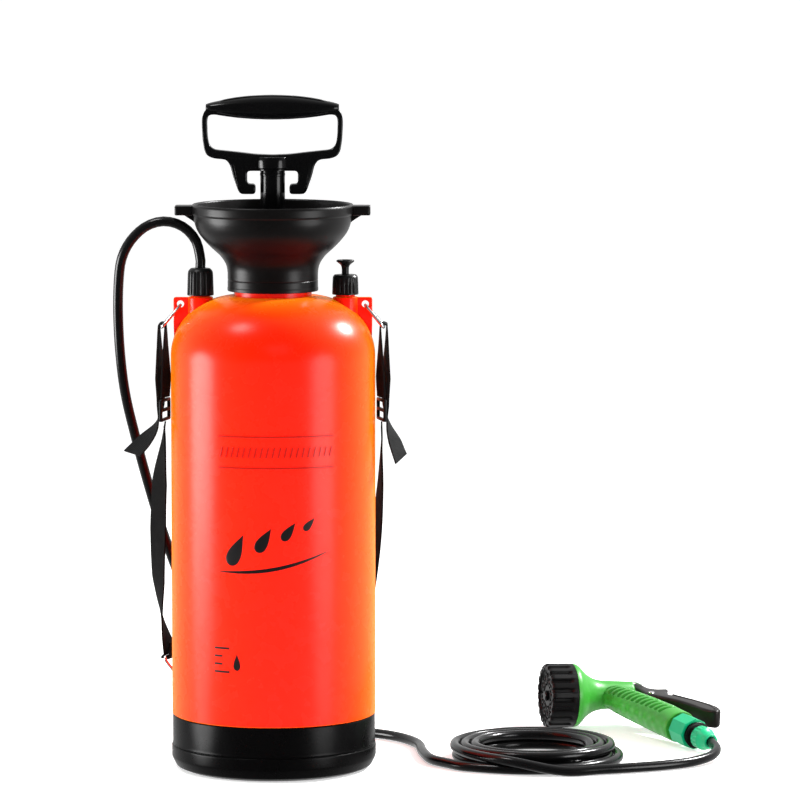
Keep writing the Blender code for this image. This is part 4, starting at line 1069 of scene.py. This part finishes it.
def carved(mesh, cutters):
    """The mesh with other meshes cut out of it."""
    whole = bpy.data.objects.new("whole", mesh)
    bpy.context.scene.collection.objects.link(whole)
    tools = []
    for cutter in cutters:
        tool = bpy.data.objects.new("tool", cutter)
        bpy.context.scene.collection.objects.link(tool)
        step = whole.modifiers.new("cut", "BOOLEAN")
        step.operation = "DIFFERENCE"
        step.object = tool
        tools.append(tool)
    bpy.context.view_layer.update()
    made = bpy.data.meshes.new_from_object(whole.evaluated_get(bpy.context.evaluated_depsgraph_get()))
    for obj in [whole, *tools]:
        bpy.data.objects.remove(obj)
    return made


def box_mesh(low, high):
    bm = bmesh.new()
    bmesh.ops.create_cube(bm, size=1)
    for vert in bm.verts:
        for axis in range(3):
            vert.co[axis] = high[axis] if vert.co[axis] > 0 else low[axis]
    return mesh_of("box", bm)


def rod_mesh(x, z, radius, half):
    mesh = turned([(0, -half), (radius, -half), (radius, half), (0, half)], 32, close=False)
    mesh.transform(Matrix.Translation((x, 0, z)) @ Matrix.Rotation(pi / 2, 4, "X"))
    return mesh


HANDLE_RINGS = mm((0, 0.8, 15.8, 14.2), (2, 0.8, 16.4, 14.6), (12, 1, 16.6, 14.6), (30, 1.5, 17, 14.6),
    (60, 0.7, 16, 14.2), (85, -0.5, 14.8, 13.6), (104, -1.2, 14.2, 12.8), (115.2, -1, 14, 11.8))
SLOT_PITCH = 0.0079
SLOT_LOW_Z = 0.0165
SLOT_SLOPE = -0.24
SLOT_DEPTH = 0.0030
GRIP_TOP = 0.1152
GRIP_AROUND = 144
GRIP_ROWS = 236
FINGER_PITCH = 0.0155  # of the waves down the grip's back


def eased(value, low, high):
    t = min(max((value - low) / (high - low), 0), 1)
    return t * t * (3 - 2 * t)


def slot_mask(x, y, z):
    """1 inside one of the grip's slanted slots and 0 outside, with soft edges."""
    phase = (z - SLOT_SLOPE * x - SLOT_LOW_Z) / SLOT_PITCH
    if phase < 0 or phase > 12.2:
        return 0.0
    part = phase % 1
    open_ = eased(part, 0.00, 0.09) * (1 - eased(part, 0.52, 0.61))
    sides = eased(x, -0.0122, -0.0110) * (1 - eased(x, 0.0128, 0.0142))
    web = 1 - 0.55 * (1 - eased(abs(x - 0.0012), 0.0010, 0.0022))
    return open_ * sides * web * (1 if abs(y) > 0.003 else 0)


def make_gun_grip():
    bm = bmesh.new()
    grid = []
    slot_shade_masks = {}
    for row in range(GRIP_ROWS + 1):
        height = GRIP_TOP * row / GRIP_ROWS
        upper = next(i for i, ring in enumerate(HANDLE_RINGS) if ring[0] >= height - 1e-9)
        a = HANDLE_RINGS[max(upper - 1, 0)]
        b = HANDLE_RINGS[upper]
        share = (height - a[0]) / (b[0] - a[0]) if b[0] > a[0] else 0
        centre, half_x, half_y = (a[i] + (b[i] - a[i]) * share for i in (1, 2, 3))
        slope = tan(BARREL_TILT) * eased(height, 0.1080, GRIP_TOP)
        line = []
        for part in range(GRIP_AROUND):
            angle = 2 * pi * part / GRIP_AROUND
            x = half_x * cos(angle)
            y = half_y * sin(angle)
            spine = 1 + 0.018 * sin(height * 2 * pi / FINGER_PITCH) * eased(-x / half_x, 0.6, 0.9)
            mask = slot_mask(x, y, height)
            deep = y - (SLOT_DEPTH * mask * min(abs(y) / 0.006, 1)) * (1 if y > 0 else -1)
            vert = bm.verts.new((centre + x * spine, deep, height - half_x * cos(angle) * slope))
            slot_shade_masks[vert] = mask
            line.append(vert)
        grid.append(line)
    for lower, upper in zip(grid, grid[1:]):
        for part in range(GRIP_AROUND):
            after = (part + 1) % GRIP_AROUND
            face = bm.faces.new((lower[part], lower[after], upper[after], upper[part]))
            inside = sum(slot_shade_masks[vert] for vert in face.verts) / 4
            # Faces well inside a slot take the darker green, painted shade in the recess.
            face.material_index = 1 if inside > 0.42 else 0
    bm.faces.new(grid[0])
    bm.faces.new(grid[-1])
    grip = on_gun("gun_grip", mesh_of("gun_grip", bm), GREEN, stands_for=("gun_body",),
                  angle=50)
    index = [face.material_index for face in grip.data.polygons]
    grip.data.materials.append(SLOT_SHADE_GREEN)
    return grip, index


def make_gun_head():
    back = rounded(mm((6.2, -21), (10.8, -21), (12.3, -19.6), (12.8, -10)), 0.0012, closed=False)
    side = bend(mm((12.8, -10), (13.2, 0), (13.8, 10), (15.8, 18), (20.5, 25.5), (25.8, 30.5), (28.8, 34),
        (29.7, 36.4)))
    front = mm((29.8, 38.2), (12, 38.2), (12, 54), (2.3, 54), (2.3, 44.5), (0, 44.5), (0, 20), (6.2, 20))
    on_gun("gun_barrel", turned(back + side[1:] + front, 96), GREEN, barrel=True)
    pivot = TRIGGER_PIVOT
    lug = plate(rounded(mm((8, 85), (24, 86.2), (27.8, 88.8), (28.8, 92.5), (27.4, 95.8), (23.2, 97.2),
        (8, 101)), 0.0016), 0.0080, 0.0007, [circle(*pivot, 0.0034)])
    on_gun("gun_lug", lug, GREEN)
    collar = turned(rounded(mm((12, 0.3), (15.6, 0.3), (16.1, 1.2), (16.1, 2.6), (15.6, 3.4), (12, 3.4)),
        0.0004), 96)
    collar.transform(Matrix.Translation((0.0008, 0, 0)) @ Matrix.Diagonal((1.02, 0.90, 1, 1)))
    on_gun("gun_collar", collar, GREEN)


def make_gun_dial():
    skirt = [(DIAL_R - 0.0004, DIAL_BACK), (DIAL_R, DIAL_BACK + 0.0004), (DIAL_R, 0.0424)]
    skirt += [(DIAL_R, 0.0424 + 0.0016 * part) for part in range(1, 12)]
    section = skirt + [(DIAL_R, 0.0618), (0.0296, 0.0630), (0.0284, 0.0640), (0.0264, 0.0640),
                       (0.0256, 0.0634), (0.0250, 0.0618), (0.0225, 0.0614), (0.0222, 0.0606),
                       (0.0100, 0.0604), (0.0096, 0.0618), (0.0025, 0.0618), (0.0025, 0.0565),
                       (0.0262, 0.0565), (0.0262, DIAL_BACK)]
    dial = turned(section, 240)
    for vert in dial.vertices:
        radius = hypot(vert.co.x, vert.co.y)
        if radius < 0.0263 or vert.co.z < 0.0420 or vert.co.z > 0.0641:
            continue
        turn = (atan2(vert.co.y, vert.co.x) / (2 * pi) * DIAL_RIBS) % 1
        valley = eased(turn, 0.04, 0.16) * (1 - eased(turn, 0.44, 0.56)) * eased(vert.co.z, 0.0424, 0.0450)
        vert.co.x *= 1 - DIAL_VALLEY * valley / radius
        vert.co.y *= 1 - DIAL_VALLEY * valley / radius
    on_gun("dial_drum", dial, BLACK, "dial", ("nozzle_dial",), barrel=True)
    for index in range(DIAL_JETS):
        angle = 2 * pi * (index + 0.5) / DIAL_JETS
        out = Matrix.Translation((JETS_R * cos(angle), JETS_R * sin(angle), 0))
        boss = turned(rounded(mm((2.8, 60), (5.2, 60), (5, 62.2), (4.2, 62.6), (3.6, 62.4), (2.8, 61.2)),
            0.0003), 40)
        boss.transform(out)
        on_gun(f"dial_jet_{index}", boss, BLACK, "dial", barrel=True)
        if index % 2:
            core = turned(mm((0, 60), (1.4, 60), (1.4, 61.6), (0.9, 62.1), (0, 62.1)), 24, close=False)
        else:
            core = plate(rounded(mm((-2.6, -0.6), (2.6, -0.6), (2.6, 0.6), (-2.6, 0.6)), 0.0004), 0.0018,
                0.0002)
            core.transform(FACE_UP)
            core.transform(Matrix.Rotation(angle, 4, "Z"))
        core.transform(out)
        on_gun(f"dial_core_{index}", core, BLACK, "dial", barrel=True)
        spoke = plate(rounded(mm((9.6, -0.7), (22.6, -0.4), (22.6, 0.4), (9.6, 0.7)), 0.0002), 0.0016, 0.0002)
        spoke.transform(FACE_UP)
        spoke.transform(Matrix.Rotation(angle + pi / 8, 4, "Z"))
        on_gun(f"dial_spoke_{index}", spoke, BLACK, "dial", barrel=True)
    screw = turned(rounded(mm((0.3, 46), (2, 46), (2, 62.1), (5, 62.1), (4.9, 63.6), (4, 64.8), (0.3, 65)),
        0.0005), 48)
    on_gun("dial_hub", screw, GLOSS_BLACK, stands_for=("dial_screw",), barrel=True)


TRIGGER_OUTLINE = ((25.2, 130.5), (29, 130), (31.2, 125), (31.8, 116), (31.3, 110.5), (34, 106),
                   (37, 104.3), (48, 101.5), (43.5, 96.5), (38.5, 90.5), (37.5, 84), (43, 70.5),
                   (51, 55), (56.5, 40), (57.5, 27), (54.5, 17), (48.5, 12.5), (42.5, 16), (38.8, 27),
                   (37.5, 40), (34, 56), (28, 71), (22.5, 81), (19.2, 86.5), (17.9, 92), (18.6, 97),
                   (19.4, 103), (20.5, 110), (22.6, 119))  # millimetres
TRIGGER_RIDGE = mm((39.5, 80), (44, 66), (49, 52), (51.8, 38), (51.2, 27), (48.8, 20))


def make_gun_trigger():
    outline = rounded([(x / 1000, z / 1000) for x, z in TRIGGER_OUTLINE], 0.0050, parts=5)
    blade = plate(outline, 2 * TRIGGER_HALF, 0.0026, resolution=5)
    blade = carved(blade, [box_mesh((0.0100, -0.0046, 0.0830), (0.0300, 0.0046, 0.1110)),
                           box_mesh((0.0100, -0.0028, 0.1100), (0.0400, 0.0028, 0.1400)),
                           rod_mesh(*TRIGGER_PIVOT, 0.0034, 0.0200)])
    on_gun("trigger_blade", blade, TRIGGER_BLACK, "lever", ("trigger",))
    for side, word in ((-1, "near"), (1, "far")):
        line = [(x, side * (TRIGGER_HALF - 0.0003), z) for x, z in TRIGGER_RIDGE]
        ridge = [GUN @ here for here in smooth(line, 0.002)]
        wire(f"trigger_ridge_{word}", ridge, 0.0009, TRIGGER_BLACK, "lever")
    pin = turned(mm((0, -9.6), (2.2, -9.6), (2.9, -9.2), (3.1, -8.6), (3.1, 8.6), (2.9, 9.2), (2.2, 9.6),
        (0, 9.6)), 40, close=False)
    pin.transform(Matrix.Translation((TRIGGER_PIVOT[0], 0, TRIGGER_PIVOT[1]))
                  @ Matrix.Rotation(pi / 2, 4, "X"))
    on_gun("pivot_pin", pin, CHROME, stands_for=("trigger_pin",))
    side = [(BAIL_PIVOT[0], -0.0096, BAIL_PIVOT[1]), (0.0262, -0.0100, 0.1250),
            (0.0240, -0.0090, 0.1325), (0.0232, -0.0050, 0.1352)]
    around = [GUN @ Vector(point) for point in side + [(x, -y, z) for x, y, z in reversed(side)]]
    clip = wire("clip_wire", smooth(around, 0.0012), 0.0007, CHROME, "clip",
                stands_for=("hold_open_clip",))
    knob = turned(rounded(mm((0.3, -44), (3.6, -44), (4.8, -42.8), (5, -39.5), (4.8, -35.2), (4, -34.5),
        (2.3, -34.5), (2.3, -41.2), (0.3, -41.2)), 0.0008), 48)
    on_gun("stem_button", knob, GLOSS_BLACK, "stem", ("stem_knob",), barrel=True)


def make_gun_connector():
    sleeve = NODES["connector_sleeve"]
    sleeve.data.materials.clear()
    sleeve.data.materials.append(TURQUOISE)
    bevel = sleeve.modifiers.new("soft_edges", "BEVEL")
    bevel.width = 0.0007
    bevel.segments = 3
    bevel.angle_limit = radians(30)
    adapter = NODES["inlet_adapter"]
    adapter.data.materials.clear()
    adapter.data.materials.append(BLACK)
    body = turned(rounded(mm((3, -45), (7.5, -45), (7.5, -34.4), (9.2, -34.4), (9.2, -31.4), (12, -31.2),
        (12.5, -30.6), (12, -30), (10.8, -29.4), (10.8, -4.2), (9.2, -4.2), (9.2, -22.5), (3, -22.5)),
        0.0003), 96)
    on_gun("connector_core", body, BLACK, stands_for=("connector_body",))
    nut = turned(rounded([(0.0079, -0.0347), (0.0098, -0.0347), (0.0105, -0.0358), (0.0105, -0.0400),
                          (0.0104, -0.0445), (0.0082, -0.0482), (0.0072, -0.0520), (0.0068, HOSE_NUT_END_Z),
                          (0.0049, HOSE_NUT_END_Z), (0.0049, -0.0470), (0.0079, -0.0455)], 0.0006), 144)
    fluted(nut, 16, -0.0440, -0.0362, 0.0100, 0.0006, 3.0)
    on_gun("hose_grip_nut", nut, TURQUOISE, stands_for=("hose_nut",))


make_camera()
make_light()
make_floor()
hose, HOSE_LENGTH = make_hose()
make_tank()
make_base()
make_graphics()
make_funnel()
make_pump()
make_handle()
make_fittings()
make_straps()
grip, slot_shade_faces = make_gun_grip()
# Faces inside the slots take the second material, the painted shade.
for face, index in zip(grip.data.polygons, slot_shade_faces):
    face.material_index = index
make_gun_head()
make_gun_dial()
make_gun_trigger()
make_gun_connector()
